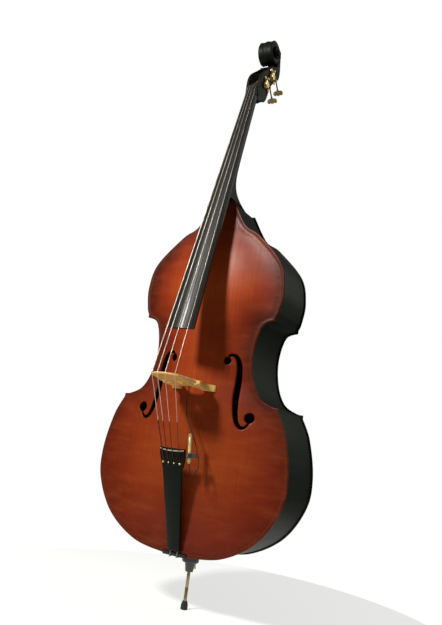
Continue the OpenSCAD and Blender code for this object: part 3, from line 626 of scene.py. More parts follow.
BODY_Z, BODY_LEN, EDGE_Y = 163.0, 1110.0, -100.0
TOP_ARCH, BACK_ARCH, PLATE_T, OVERHANG, RIB_T = 31.0, 22.0, 7.0, 5.0, 3.0
BODY_TOP = BODY_Z + BODY_LEN
LOWER_RUN = [(30, 0), (150, 18), (256, 82), (318, 181), (327, 275), (305, 382), (275, 444)]
WAIST_RUN = [(275, 455), (250, 459), (209, 482), (182, 537), (173, 617), (192, 693), (232, 711)]
UPPER_RUN = [(232, 722), (241, 745), (249, 811), (228, 894), (141, 986), (88, 1022), (35.5, 1110)]
ARCH_RUN = [
    (0, 20), (40, 160), (100, 255), (190, 302), (275, 311), (370, 290), (450, 232), (520, 168),
    (600, 157), (680, 168), (740, 205), (811, 232), (890, 212), (985, 125), (1030, 68), (1110, 20)]
OUTLINE_STEPS = 9
JUST_INSIDE = 0.999
HALF_OUTLINE = np.concatenate([smooth(run, OUTLINE_STEPS) for run in (LOWER_RUN, WAIST_RUN, UPPER_RUN)])
HALF_OUTLINE[:, 0] *= JUST_INSIDE
ARCH_TABLE = smooth(ARCH_RUN, 4)


def rise(x, h):
    """Height of a plate's arch as a fraction, at x and height h over the body's lower edge."""
    along = 0.5 + 0.5 * np.cos(np.pi * np.clip(np.abs(h - 545) / 535, 0, 1) ** 2.4)
    width = np.interp(h, ARCH_TABLE[:, 0], ARCH_TABLE[:, 1])
    return along * (0.5 + 0.5 * np.cos(np.pi * np.clip(np.abs(x) / width, 0, 1) ** 1.2))


def back_edge_y(h):
    return EDGE_Y + 200 - 40 * (np.clip(h - 450, 0, None) / (BODY_LEN - 450)) ** 1.35


def full_outline(extra=()):
    """The whole outline as a closed loop of (x, world z), with extra points let in at the top."""
    right = [(x, h + BODY_Z) for x, h in HALF_OUTLINE]
    return np.array(right + list(extra) + mirrored(right))


F_LINE = [
    (95, 586), (99, 596), (110, 600), (124, 592), (134, 566), (137, 530), (138, 480),
    (142, 440), (150, 407), (163, 389), (178, 389), (189, 404), (190, 417)]
F_WIDTH = [6, 8, 10, 14, 18, 20, 20, 18, 15, 12, 9, 7, 6]
F_EYES = [(95, 581, 12), (189, 418, 16)]


def union_outline(shapes, step):
    """The outer boundary of overlapping closed shapes, as one loop."""
    flat, tris, centres = triangles(shapes, (), 1e-5)
    kept = tris[np.any([inside(centres, s) for s in shapes], axis=0)]
    following = {int(a): int(b) for a, b in rim_edges(kept)}
    loops = []
    while following:
        start = next(iter(following))
        loop = [start]
        here = following.pop(start)
        while here != start and here in following:
            loop.append(here)
            here = following.pop(here)
        loops.append(loop)
    return resample(flat[max(loops, key=len)], step)


def f_hole(side):
    """The outline of one f-hole: a line of varying width with a round eye at each end."""
    line = smooth(F_LINE, 6)
    t = np.gradient(line, axis=0)
    t /= np.linalg.norm(t, axis=1)[:, None]
    normal = np.stack([-t[:, 1], t[:, 0]], 1)
    width = np.interp(np.arange(len(line)) / 6, np.arange(len(F_WIDTH)), F_WIDTH)[:, None] / 2
    band = np.concatenate([line + normal * width, (line - normal * width)[::-1]])
    loop = union_outline([band] + [circle(x, z, r) for x, z, r in F_EYES], 2.6)
    return (loop + (0, BODY_Z)) * (side, 1)


SADDLE_HALF, SADDLE_H = 39.0, 8.0
PLATE_RINGS = (0.4, 1.2, 3, 6, 10, 15)


def channel(rim, depth):
    """The shallow hollow that runs round inside a plate's edge."""
    return depth * np.exp(-((rim - 13) / 5.5) ** 2)


def make_top():
    """Arched top with a rounded edge, a shallow channel inside it, purfling and two f-holes."""
    outline = full_outline()
    floor_z = BODY_Z + SADDLE_H
    low = [(x, h + BODY_Z) for x, h in HALF_OUTLINE if h < SADDLE_H and x > SADDLE_HALF]
    right_low = [(SADDLE_HALF, BODY_Z + 0.05)] + low
    loop = [(-SADDLE_HALF, floor_z), (SADDLE_HALF, floor_z)] + right_low
    loop += list(outline[outline[:, 1] > floor_z]) + mirrored(right_low)

    def front(x, z, rim, hole):
        edge = round_over(rim, 3.0) + channel(rim, 1.3) + round_over(hole, 1.0) * 0.6
        return EDGE_Y - TOP_ARCH * rise(x, z - BODY_Z) + edge

    def back(x, z, rim, hole):
        return EDGE_Y + PLATE_T - TOP_ARCH * rise(x, z - BODY_Z) - round_over(rim, 2.5)

    holes = [f_hole(1), f_hole(-1)]
    verts, faces, rims = slab(resample_keep(loop, 6.0), holes, 7.5, front, back, PLATE_RINGS, (1.0,))
    piece("top", verts, faces, "top_varnish", stands_for="top_plate", values=rims, sharp=50)


BUTTON_R, BUTTON_RISE = 26.0, 12.0
RIB_STEPS, HEEL_HALF = 90, 24.5


def make_back():
    """Arched back whose outline runs up into the button behind the heel."""
    reach = math.sqrt(BUTTON_R ** 2 - (BUTTON_R - BUTTON_RISE) ** 2)
    start = math.atan2(BUTTON_R - BUTTON_RISE, reach)
    arc = [(BUTTON_R * math.cos(a), BODY_TOP - BUTTON_R + BUTTON_RISE + BUTTON_R * math.sin(a))
           for a in np.linspace(start, math.pi - start, 15)]

    def arched(x, z):
        h = z - BODY_Z
        return back_edge_y(np.clip(h, 0, BODY_LEN)) + BACK_ARCH * rise(x, h)

    def back(x, z, rim, hole):
        return arched(x, z) - round_over(rim, 3.0) - channel(rim, 1.0)

    def front(x, z, rim, hole):
        return arched(x, z) - PLATE_T + round_over(rim, 2.5)

    loop = resample_keep(full_outline(arc), 6.0)
    verts, faces, rims = slab(loop, [], 8.5, front, back, PLATE_RINGS)
    piece("back", verts, faces, "dark_varnish", stands_for="back_plate", values=rims, sharp=50)


def make_rib(name, side, low, high):
    """One bent rib: the stretch of the inset outline between two heights, on one side."""
    outline = full_outline()
    lines = []
    for d in (OVERHANG, OVERHANG + RIB_T):
        moved = inset(outline, d, 0.995)
        line = moved[moved[:, 0] * side > 0]
        if side < 0:
            line = line[::-1]
        if low == BODY_Z:
            line = np.concatenate([[(0.0, BODY_Z + d)], line])
        if high == BODY_TOP:
            line = np.concatenate([line, [(side * HEEL_HALF, BODY_TOP - d)]])
        lines.append(even(stretch(line, low, high), RIB_STEPS))
    rings = []
    front = EDGE_Y + PLATE_T
    for (xo, zo), (xi, zi) in zip(*lines):
        yo, yi = (back_edge_y(z - BODY_Z) - PLATE_T for z in (zo, zi))
        rings.append([(xo, front, zo), (xo, yo, zo), (xi, yi, zi), (xi, front, zi)])
    rib = piece(name, *loft(rings), "dark_varnish", stands_for=name, sharp=28)
    if low == BODY_Z:
        hole = [(0, 0, BODY_Z - 5), (0, 0, BODY_Z + 2), (0, 0, BODY_Z + 20)]
        bore(rib, tube(hole, PLUG_R, 64), "DIFFERENCE")


def stretch(line, low, high):
    """The part of a rising line between two heights, ended exactly on them where the line goes on."""
    parts = [line[(line[:, 1] > low) & (line[:, 1] < high)]]
    if low > line[0, 1]:
        parts.insert(0, [(np.interp(low, line[:, 1], line[:, 0]), low)])
    if high < line[-1, 1]:
        parts.append([(np.interp(high, line[:, 1], line[:, 0]), high)])
    return np.concatenate(parts)


def bore(obj, tool, operation):
    """Joins or cuts a piece with another closed shape, which is gone once it's done."""
    part = piece("tool_part", *tool, "dark_varnish")
    change = obj.modifiers.new("change", "BOOLEAN")
    change.operation, change.object, change.solver = operation, part, "EXACT"
    change.use_self = operation == "UNION"
    bake_modifiers(obj, 40)
    bpy.data.objects.remove(part, do_unlink=True)


UPPER_JOINT, LOWER_JOINT = BODY_Z + 716, BODY_Z + 450
PLUG_R = 13.0


def make_ribs():
    for word, side in (("bass", -1), ("treble", 1)):
        make_rib(f"rib_upper_{word}", side, UPPER_JOINT, BODY_TOP)
        make_rib(f"rib_waist_{word}", side, LOWER_JOINT, UPPER_JOINT)
        make_rib(f"rib_lower_{word}", side, BODY_Z, LOWER_JOINT)


# ---------------------------------------------------------------- neck and strings

STRING_SLOPE = math.radians(14.86)
BRIDGE_REACH = 213.7
STRING_TOP_Y, STRING_TOP_Z = EDGE_Y - BRIDGE_REACH, BODY_Z + 505.8
NUT_Z = BODY_Z + 1566
CROWN_R, NUT_CURVE_R = 67.5, 60.0
BRIDGE_SPACING, NUT_SPACING, TAIL_SPACING = 26.0, 10.0, 19.0
PLACE = {"e": -1.5, "a": -0.5, "d": 0.5, "g": 1.5}
DIAMETER = {"e": 3.0, "a": 2.5, "d": 2.0, "g": 1.6}
POST_AT = {"e": (32, 1785), "a": (74, 1840), "d": (52, 1813), "g": (14, 1759)}
MACHINE_SIDE = {"e": -1, "a": -1, "d": 1, "g": 1}
WRAP_X = {"e": -11, "a": -5, "d": 5, "g": 11}
WRAP_TURNS, SEEN_TURNS = 3, 2.15
WRAP_GAP = {"e": 0.5, "a": 0.13, "d": 0.1, "g": 0.5}
POST_R = 6.5
BOARD_Z0, BOARD_Z1 = BODY_Z + 646, NUT_Z
BOARD_T, BOARD_END_HALF, BOARD_NUT_HALF, BOARD_END_R = 21.0, 46.0, 21.0, 82.0


def string_y(z):
    return STRING_TOP_Y + (z - STRING_TOP_Z) * math.tan(STRING_SLOPE)


def drop(x, r):
    return r - np.sqrt(r * r - x * x)


def board(z):
    """The fingerboard at a height: y of its front, half width, radius across, and y of its flat back."""
    f = (z - BOARD_Z0) / (BOARD_Z1 - BOARD_Z0)
    low, high = EDGE_Y - 164.5, string_y(NUT_Z) + 2.5
    y = low + (high - low) * f
    half = BOARD_END_HALF + (BOARD_NUT_HALF - BOARD_END_HALF) * f
    return y, half, BOARD_END_R + (NUT_CURVE_R - BOARD_END_R) * f, y + BOARD_T - 3 * f


def make_fingerboard():
    """Long board, arched across, with eased edges."""
    rings = []
    for z in np.concatenate([[BOARD_Z0, BOARD_Z0 + 0.8], np.linspace(BOARD_Z0 + 3, BOARD_Z1, 40)]):
        shrink = 0.8 if z == BOARD_Z0 else 0.0
        y, half, radius, flat = board(z)
        half, flat = half - shrink, flat - shrink
        ring = [(x, y + drop(x, radius) + shrink, z) for x in np.linspace(-1, 1, 25) * (half - 1.0)]
        side_y = y + drop(half, radius) + 1.0
        ring += [(half, side_y, z), (half - 0.6, flat, z), (-half + 0.6, flat, z), (-half, side_y, z)]
        rings.append(ring)
    piece("board", *loft(rings), "ebony", stands_for="fingerboard", sharp=30)


NECK_SHAFT_TOP, HEEL_DEPTH = 1697.0, 159.0


def neck_shaft():
    """The neck from its heel to behind the nut, flat in front and round behind."""
    rings = []
    heights = np.concatenate([BODY_TOP + 110 * np.linspace(0, 1, 28) ** 1.6,
                              np.linspace(BODY_TOP + 125, NECK_SHAFT_TOP, 22)])
    for z in heights:
        y, half, _, front = board(z)
        half -= 0.6
        thinner = 5 * np.clip((z - BODY_TOP - 60) / 320, 0, 1)
        back = y + 38 - thinner + HEEL_DEPTH * np.exp(-(z - BODY_TOP) / 28)
        ring = []
        for a in np.linspace(0, math.pi, 33):
            ring.append((half * math.cos(a), front + (back - front) * math.sin(a) ** 0.8, z))
        ring += [(x, front, z) for x in np.linspace(-half, half, 9)[1:-1]]
        rings.append(ring)
    return loft(rings)


PEG_HALF, CAVITY_HALF, SCROLL_HALF, EYE_HALF = 27.0, 18.0, 21.0, 39.5
HEAD_STEPS, SCROLL_STEPS = 54, 150
# The slot of the pegbox opens and closes at these fractions of its length, and is this deep
SLOT_OPENS, SLOT_CLOSES, SLOT_DEPTH = 0.265, 0.90, 0.80
PEG_BACK = [(-4, 1684), (28, 1699), (45, 1730), (53, 1763), (77, 1802), (118, 1840), (131, 1872)]
PEG_FRONT = [(-24, 1688), (-24, 1712), (-24, 1746), (-20, 1774), (-5, 1800), (28, 1832), (66, 1870)]
SCROLL_Y, SCROLL_Z = 70.0, 1920.0
# Outer edge of the volute as (angle in degrees from straight back, radius), and the gap between turns
VOLUTE_START_R, VOLUTE_GAP = 50.2, 3.5
VOLUTE = [
    (-38, 77.6), (-20, 62), (0, 54), (45, 50.2), (90, 49.7), (135, 48.5), (180, 46.5), (225, 43),
    (270, 39.5), (315, 36), (360, 32.8), (450, 27.5), (540, 23), (630, 19.2), (720, 16), (800, 13.6)]


def volute_radius(angle):
    table = np.array(VOLUTE, float)
    return np.interp(angle, table[:, 0], table[:, 1])


def head_ring(front, back, half, hollow, depth):
    """Section of the pegbox or scroll between a front point and a back point, each (y, z)."""
    f, b = np.array(front, float), np.array(back, float)
    length = np.linalg.norm(b - f)
    e = min(0.10, 3.0 / length)
    flute = min(0.08, 2.6 / length)
    wall = CAVITY_HALF if hollow else half - 3.2
    c = depth * 0.92 if hollow else 0.012
    ring = [(half - 1.4, 0), (half, e * 0.5), (half - 1.6, 0.30), (half - 2.2, 0.55), (half - 1.2, 0.82),
            (half, 1 - e), (half - 1.6, 1 - e * 0.3), (half * 0.72, 1 - flute), (half * 0.34, 1 - flute),
            (half * 0.12, 1)]
    ring += mirrored(ring)
    ring += [(-wall, 0), (-wall, c * 0.5), (-wall + 0.8, c), (-wall * 0.4, c)]
    ring += [(wall * 0.4, c), (wall - 0.8, c), (wall, c * 0.5), (wall, 0)]
    return [(x, *(f + (b - f) * s)) for x, s in ring]


def head_solid():
    """Pegbox with its slot, running up into a carved scroll of two and a quarter turns."""
    front, back = (even(smooth(line, 12), HEAD_STEPS) for line in (PEG_FRONT, PEG_BACK))
    rings = []
    for k in range(HEAD_STEPS + 1):
        t = k / HEAD_STEPS
        narrow = (PEG_HALF - SCROLL_HALF) * max(0, (t - 0.62) / 0.38) ** 1.5
        half = PEG_HALF - 5.0 * (1 - min(1, t / 0.10)) ** 2 - narrow
        opened = min(1, max(0, (t - SLOT_OPENS) / 0.03))
        still_open = min(1, max(0, (SLOT_CLOSES - t) / 0.10))
        depth = SLOT_DEPTH * min(opened, still_open ** 0.6)
        rings.append(head_ring(front[k], back[k], half, depth > 0.02, depth))
    first, last = VOLUTE[0][0], VOLUTE[-1][0]
    for k in range(1, SCROLL_STEPS + 1):
        angle = first + (last - first) * k / SCROLL_STEPS
        catch = min(1, (angle - first) / 95)
        inner_angle = angle + (-94 - first) * (1 - catch) ** 1.3
        groove = volute_radius(angle + 360) - VOLUTE_GAP
        inner_r = VOLUTE_START_R + (groove - VOLUTE_START_R) * catch ** 0.8
        if angle + 360 > last:
            inner_r = min(inner_r, 6 + 8 * max(0, (last - angle)) / 360)
        half = SCROLL_HALF + (EYE_HALF - SCROLL_HALF) * max(0, (angle - 20) / (last - 20)) ** 0.70
        ends = []
        for turn, radius in ((inner_angle, inner_r), (angle, volute_radius(angle))):
            a = math.radians(turn)
            ends.append((SCROLL_Y + radius * math.cos(a), SCROLL_Z + radius * math.sin(a)))
        rings.append(head_ring(*ends, half, False, 0))
    half_eye = [(12.6, 36.5), (11.2, 40), (8.5, 42), (0, 42)]
    profile = [(r, -z) for r, z in half_eye[::-1]] + half_eye
    eye = reordered(lathe(profile, 48, closed=False), (2, 0, 1), (0, SCROLL_Y, SCROLL_Z))
    return loft(rings), eye


def make_neck():
    """Neck, heel, pegbox and scroll of one piece of wood, bored for the string posts."""
    neck = piece("neck", *neck_shaft(), "dark_varnish", stands_for="neck_and_scroll", sharp=40)
    for part in head_solid():
        bore(neck, part, "UNION")
    for s in STRINGS:
        y, z = POST_AT[s]
        hole = [(MACHINE_SIDE[s] * x, y, z) for x in (40, 10, -23)]
        bore(neck, tube(hole, POST_R + 0.05, 32), "DIFFERENCE")
    bake_modifiers(neck, 35)


def bake_modifiers(obj, sharp):
    """Turns the piece's modifiers into plain mesh and marks its sharp edges again."""
    graph = bpy.context.evaluated_depsgraph_get()
    mesh = bpy.data.meshes.new_from_object(obj.evaluated_get(graph))
    obj.modifiers.clear()
    obj.data = mesh
    b = bmesh.new()
    b.from_mesh(mesh)
    bmesh.ops.remove_doubles(b, verts=b.verts, dist=0.00002)
    bmesh.ops.dissolve_degenerate(b, edges=b.edges, dist=0.00001)
    finish_mesh(b, mesh, sharp)


TAIL_AT = np.array([0.0, -105.0, 178.0])
TAIL_TILT, TAIL_LEN, TAIL_CURVE_R, TAIL_T, FRET_RISE = math.radians(18.2), 304.0, 75.0, 16.0, 3.0
TAIL_FRAME = tilted(TAIL_TILT, TAIL_AT)
BALL_Y, BALL_Z, FRET_Z = -3.0, TAIL_LEN - 42, TAIL_LEN - 4


def tail_face(x):
    """Y of the tailpiece's arched front, before its tilt."""
    return drop(x, TAIL_CURVE_R) - TAIL_T / 2


def tail_to_world(p):
    x, y, z = p
    c, s = math.cos(TAIL_TILT), math.sin(TAIL_TILT)
    return TAIL_AT + (x, y * c - z * s, y * s + z * c)


def tail_point(s):
    x = PLACE[s] * TAIL_SPACING
    return tail_to_world((x, tail_face(x) - FRET_RISE - 1.6, FRET_Z))


def bridge_point(s):
    x = PLACE[s] * BRIDGE_SPACING
    return np.array([x, STRING_TOP_Y + drop(x, CROWN_R), STRING_TOP_Z])


def nut_point(s):
    x = PLACE[s] * NUT_SPACING
    return np.array([x, string_y(NUT_Z) + drop(x, NUT_CURVE_R), NUT_Z])


def wrap_radius(s):
    return POST_R + DIAMETER[s] / 2


def post_touch(s):
    """Where the string meets the front of its post, and the angle of that point about the post."""
    n, (cy, cz), r = nut_point(s), POST_AT[s], wrap_radius(s)
    vy, vz = cy - n[1], cz - n[2]
    d = math.hypot(vy, vz)
    a = math.atan2(vz, vy) + math.asin(r / d)
    length = math.sqrt(d * d - r * r)
    x = WRAP_X[s] - math.copysign(1, WRAP_X[s]) * (DIAMETER[s] * (WRAP_TURNS + 1) / 2 + WRAP_GAP[s])
    y, z = n[1] + length * math.cos(a), n[2] + length * math.sin(a)
    return np.array([x, y, z]), math.atan2(z - cz, y - cy)


def make_strings():
    """Each string in two pieces: its straight line, and the turns that ride on the post."""
    for s in STRINGS:
        touch, angle = post_touch(s)
        x = PLACE[s] * TAIL_SPACING
        hole = tail_to_world((x, BALL_Y, BALL_Z))
        slot_end = tail_to_world((x, tail_face(x) - 0.4, TAIL_LEN - 24))
        stops = [hole, slot_end, tail_point(s), bridge_point(s), nut_point(s), touch]
        path = [stops[0]]
        for a, b in zip(stops, stops[1:]):
            near = min(0.5, 2.0 / np.linalg.norm(b - a))
            path += [a + (b - a) * near, a + (b - a) * (1 - near), b]
        line = tube(path, DIAMETER[s] / 2, 16)
        piece(f"string_{s}_line", *line, "string_steel", stands_for=f"string_{s}", sharp=60)
        away = math.copysign(DIAMETER[s], WRAP_X[s])
        x0, x1 = WRAP_X[s] - away * (SEEN_TURNS - 1), WRAP_X[s] + away
        coil = helix(x0, x1, wrap_radius(s) + 0.05, -SEEN_TURNS, int(SEEN_TURNS * 28), angle)
        turns = tube(coil + (0, *POST_AT[s]), DIAMETER[s] / 2 * 0.98, 10)
        piece(f"string_{s}_turns", *turns, "string_steel", f"post_{s}", f"string_wraps_{s}", 60)


# ---------------------------------------------------------------- bridge and tail

BRIDGE_LEAN = math.radians(4.2)
CROWN_H = BRIDGE_REACH / math.cos(BRIDGE_LEAN)
BRIDGE_Z0 = STRING_TOP_Z - math.tan(BRIDGE_LEAN) * BRIDGE_REACH
# Takes (x, thickness, height) to the leaning bridge on the top
BRIDGE_FRAME = tilted(math.pi / 2 - BRIDGE_LEAN, (0, EDGE_Y, BRIDGE_Z0))
FOOT_IN, FOOT_OUT = 38.0, 76.0


def sole(x):
    return TOP_ARCH * rise(np.abs(x), BRIDGE_Z0 - BODY_Z) / math.cos(BRIDGE_LEAN) - 0.2


def make_bridge():
    """Maple bridge with two feet, a heart and open kidneys, thinned from feet to crown."""
    right = smooth([(FOOT_OUT, float(sole(FOOT_OUT)) + 4), (73, 31), (66, 37), (59, 47), (57, 62),
                    (61, 80), (66, 94), (64, 103)], 6)
    kidney = smooth([(58, 105), (50, 104), (43, 100), (37, 103), (36, 112), (41, 120), (49, 121), (55, 118),
                     (61, 119)], 5)
    shoulder = float(CROWN_H - drop(46.5, CROWN_R))
    upper = smooth([(63, 122), (58, 130), (53, 145), (50, 165), (47.5, 184), (46.5, shoulder)], 5)
    crown = [(x, CROWN_H - drop(x, CROWN_R)) for x in np.linspace(44, -44, 23)]
    half_arch = [(FOOT_IN, float(sole(FOOT_IN))), (37, 40), (34, 52), (27, 64), (14, 71)]
    arch = smooth(half_arch + [(0, 73)] + mirrored(half_arch), 5)
    soles = [(x, float(sole(x))) for x in np.linspace(FOOT_IN + 6, FOOT_OUT, 8)]
    half = soles + list(right) + list(kidney) + list(upper)
    loop = half + crown + mirrored(half) + list(arch[1:-1][::-1])
    half_heart = [(0, 97), (7, 106), (15, 116), (17, 125), (12, 131), (5, 130)]
    heart = smooth(half_heart + [(0, 123)] + mirrored(half_heart), 4)[:-1]

    def back(x, h, rim, hole):
        thick = np.interp(h, (0, 36, CROWN_H), (10.8, 9.5, 2.8))
        return thick - round_over(rim, 1.4) - round_over(hole, 0.9)

    def front(*where):
        return -back(*where)

    made = slab(resample_keep(loop, 3.5), [heart[::-1]], 5.0, front, back, (0.4, 1.4), (0.4, 0.9))
    carved = placed(made[:2], BRIDGE_FRAME)
    piece("bridge_carved", *carved, "bridge_maple", stands_for="bridge", sharp=40)


WIRE_X, WIRE_R, COLLAR_GROOVE_R = 12.0, 1.5, 20.0
TAIL_SIDE = [(20.5, 0), (23, 60), (28, 150), (32, 215), (34, 240), (40, 262), (43, 284), (43, TAIL_LEN)]
SLOT_HALF, KEYHOLE_R = 1.7, 4.2


def make_tailpiece():
    """Black tailpiece, arched across, with keyhole slots for the strings and a pale fret."""
    side = smooth(TAIL_SIDE, 8)
    low = [(x, 1.5 * (abs(x) / 20.5) ** 2) for x in np.linspace(-18, 18, 9)]
    loop = low + list(side) + mirrored(side)
    slot = [(SLOT_HALF, -14), (SLOT_HALF, -38.6)]
    slot += [(KEYHOLE_R * math.sin(a), -42.4 + KEYHOLE_R * math.cos(a)) for a in np.linspace(0.42, 5.86, 22)]
    slot += [(-SLOT_HALF, -38.6), (-SLOT_HALF, -14), (0, -12.6)]
    places = {s: PLACE[s] * TAIL_SPACING for s in STRINGS}
    holes = [resample_keep(np.array(slot) + (x, TAIL_LEN), 3.0) for x in places.values()]

    def front(x, z, rim, hole):
        return tail_face(x) + round_over(rim, 2.5) + round_over(hole, 0.8)

    def back(x, z, rim, hole):
        full = TAIL_T / 2 - 1.0 - 2.0 * np.exp(-rim / 9) - round_over(rim, 1.5)
        return np.minimum(full, 2.2 + 0.3 * z)

    made = slab(resample_keep(loop, 5), holes, 6.5, front, back, (0.5, 1.3, 2.6), (0.8,))
    piece("tail_body", *placed(made[:2], TAIL_FRAME), "tailpiece_black", stands_for="tailpiece", sharp=40)
    arc = [(x, tail_face(x) - FRET_RISE + 1.6, FRET_Z) for x in np.linspace(-40.5, 40.5, 41)]
    fret = placed(tube(arc, 1.7), TAIL_FRAME)
    piece("tail_fret", *fret, "bridge_maple", sharp=50, paint="fret_pale")
    ball = lathe([(0.02, -3), (2.6, -2.4), (3.4, 0), (2.6, 2.4), (0.02, 3)], 24)
    for s, x in places.items():
        in_hole = TAIL_FRAME @ Matrix.Translation((x, BALL_Y, BALL_Z))
        piece(f"ball_end_{s}", *placed(ball, in_hole), "brass", sharp=60)


def make_tail_wire():
    """Steel wire from the tailpiece over the saddle and round the groove of the endpin collar."""
    loop_r, z = COLLAR_GROOVE_R + WIRE_R, BODY_Z - 2.5
    front_y = EDGE_Y - 4 - WIRE_R
    foot, top = tail_to_world((WIRE_X, 0, 0)), tail_to_world((WIRE_X, 0, 30))
    half = [top, foot + (0, 0, 4), foot]
    half += list(smooth([foot, (WIRE_X, front_y, z + 6), (WIRE_X, front_y, z), (WIRE_X + 0.4, front_y + 5, z),
                         (loop_r - 0.3, -14, z), (loop_r, 0, z)], 6))[1:]
    around = [(loop_r * math.cos(a), loop_r * math.sin(a), z) for a in np.linspace(0, math.pi, 40)][1:-1]
    path = half + around + mirrored(half)
    piece("tail_loop", *tube(path, WIRE_R), "wire", stands_for="tail_wire", sharp=60)


# ---------------------------------------------------------------- machine heads

SHAFT_TILT = math.radians(47)
GEAR_R, GEAR_TEETH = 11.5, 18
WORM_CORE_R, THREAD_H = 3.1, 0.9
CENTRE_DIST = GEAR_R + WORM_CORE_R + THREAD_H + 0.3
WORM_H = 9.5
KEY_AT = 62.0
EAR_AT = 16.0


def machine_matrix(s):
    """+Z out from the cheek on the post's axis, +X down along the worm shaft."""
    c, n = math.cos(SHAFT_TILT), math.sin(SHAFT_TILT)
    m = Matrix(((0, 0, 1, PEG_HALF), (c, n, 0, 0), (-n, c, 0, 0), (0, 0, 0, 1)))
    return Matrix.Translation((0, *POST_AT[s])) @ Matrix.Diagonal((MACHINE_SIDE[s], 1, 1, 1)) @ m


def shaft_matrix(s):
    """+X along the worm shaft from the middle of the worm."""
    return machine_matrix(s) @ Matrix.Translation((0, CENTRE_DIST, WORM_H))


def make_worm(s):
    """A shaft with collars at its ears, and a raised thread that fades out at both ends."""
    profile = [(0.02, -EAR_AT - 5), (2.1, -EAR_AT - 5), (2.5, -EAR_AT - 4.5), (2.5, -EAR_AT + 3.4)]
    profile += [(WORM_CORE_R, -EAR_AT + 3.6), (WORM_CORE_R, EAR_AT - 3.6), (2.5, EAR_AT - 3.4)]
    profile += [(2.5, KEY_AT - 0.5), (2.1, KEY_AT), (0.02, KEY_AT)]
    length = 2 * EAR_AT - 10
    turns = length * GEAR_TEETH / (2 * math.pi * (GEAR_R - THREAD_H))
    steps = int(turns * 26)
    line = helix(-length / 2, length / 2, WORM_CORE_R, turns, steps)
    from_end = np.minimum(np.arange(steps + 1), steps - np.arange(steps + 1))
    thread = tube(line, THREAD_H * np.clip(from_end / 10, 0.25, 1), 8)
    worm = placed(join(turned_x(lathe(profile, 32)), thread), shaft_matrix(s))
    piece(f"worm_{s}", *worm, "dark_steel", f"key_{s}", f"worm_shaft_{s}", 40)


def make_key(s):
    """Butterfly key: two round lobes and a crown on a turned hub."""
    half = [(0, -5.6), (5, -8.8), (10.5, -9.2), (16.6, -6.2), (18.8, 0), (16.6, 5.8), (11.0, 7.8),
            (7, 6.0), (4.6, 6.4), (3.4, 8.6), (0, 9.3)]

    def face(x, z, rim, hole):
        dish = 1.5 * np.exp(-((np.abs(x) - 10.6) / 4.0) ** 2 - (z / 4.0) ** 2)
        return -2.9 + round_over(rim, 2.2) * 0.9 + dish

    flat = wing(half, 2.0, 2.2, face, (0.3, 0.9, 2.0))
    lobes = placed(reordered(flat, (2, 1, 0), (KEY_AT, 0, 0)), shaft_matrix(s))
    profile = [(2.5, -14), (3.6, -14), (4.2, -13), (3.5, -11.4), (4.8, -9.8), (4.8, -8.2), (3.7, -6.6),
               (4.3, -3), (3.6, 2), (2.5, 2)]
    hub = placed(turned_x(lathe([(r, KEY_AT + at) for r, at in profile], 32)), shaft_matrix(s))
    piece(f"key_{s}_wing", *lobes, "brass", f"key_{s}", f"key_button_{s}", 40)
    piece(f"key_{s}_hub", *hub, "brass", f"key_{s}", sharp=40)


def make_machines():
    for s in STRINGS:
        make_worm(s)
        make_key(s)


# ---------------------------------------------------------------- endpin and pickup

SCREW_Z, WING_Y = BODY_Z - 41, 27.0


def make_endpin():
    """The rod with its grooves, and the rubber tip on its foot."""
    tip = lathe([(0.02, 0), (8.6, 0), (10.2, 0.5), (11, 2), (11, 4.5), (10.2, 5.2), (10.2, 6.4), (10.9, 7.2),
                 (10.3, 15), (9.3, 18), (7.6, 22.5), (7.2, 25), (5.05, 25), (5.05, 7), (0.02, 7)], 64)
    piece("rubber_foot", *tip, "rubber", "endpin", "endpin_tip", 40)
    top = BODY_Z + 190
    grooves = [(0.02, 6.5), (4.4, 6.5), (5, 7.2)]
    for k in range(6):
        z = BODY_Z - 100 + 50 * k
        grooves += [(5, z), (4.6, z + 0.7), (4.6, z + 1.7), (5, z + 2.4)]
    grooves += [(5, top - 1), (4.2, top), (0.02, top)]
    piece("rod", *lathe(grooves, 48), "bronze", "endpin", "endpin_rod", 40)


def make_thumb_screw():
    """Wing screw: a threaded shank with a collar, and two ears."""
    half = [(0, -2), (4.2, -2), (6, 2), (10.0, 5), (10.2, 10.5), (6.5, 12), (2.5, 8.6), (0, 8)]

    def face(x, z, rim, hole):
        return -2.0 + round_over(rim, 1.3)

    ears = reordered(wing(half, 1.6, 2.2, face, (0.3, 1.2)), (1, 2, 0), (0, WING_Y, SCREW_Z))
    profile = [(0.02, 5.3), (2.4, 5.3)]
    for k in range(14):
        profile += [(2.95, 5.9 + k), (2.6, 6.4 + k)]
    profile += [(2.9, 20.7), (5, 20.9), (5, 25.5), (3.6, 27.5), (0.02, 27.5)]
    shank = reordered(lathe(profile, 40), (0, 2, 1), (0, 0, SCREW_Z))
    piece("clamp_screw_wing", *ears, "brass", "clamp_screw", "thumb_screw", 40)
    piece("clamp_screw_shank", *shank, "brass", "clamp_screw", sharp=40)


JACK_LOW, JACK_HIGH = np.array([60.0, -190.0, 430.0]), np.array([50.0, -190.0, 514.0])
SOCKET_R, SOCKET_DEPTH = 3.2, 60.0


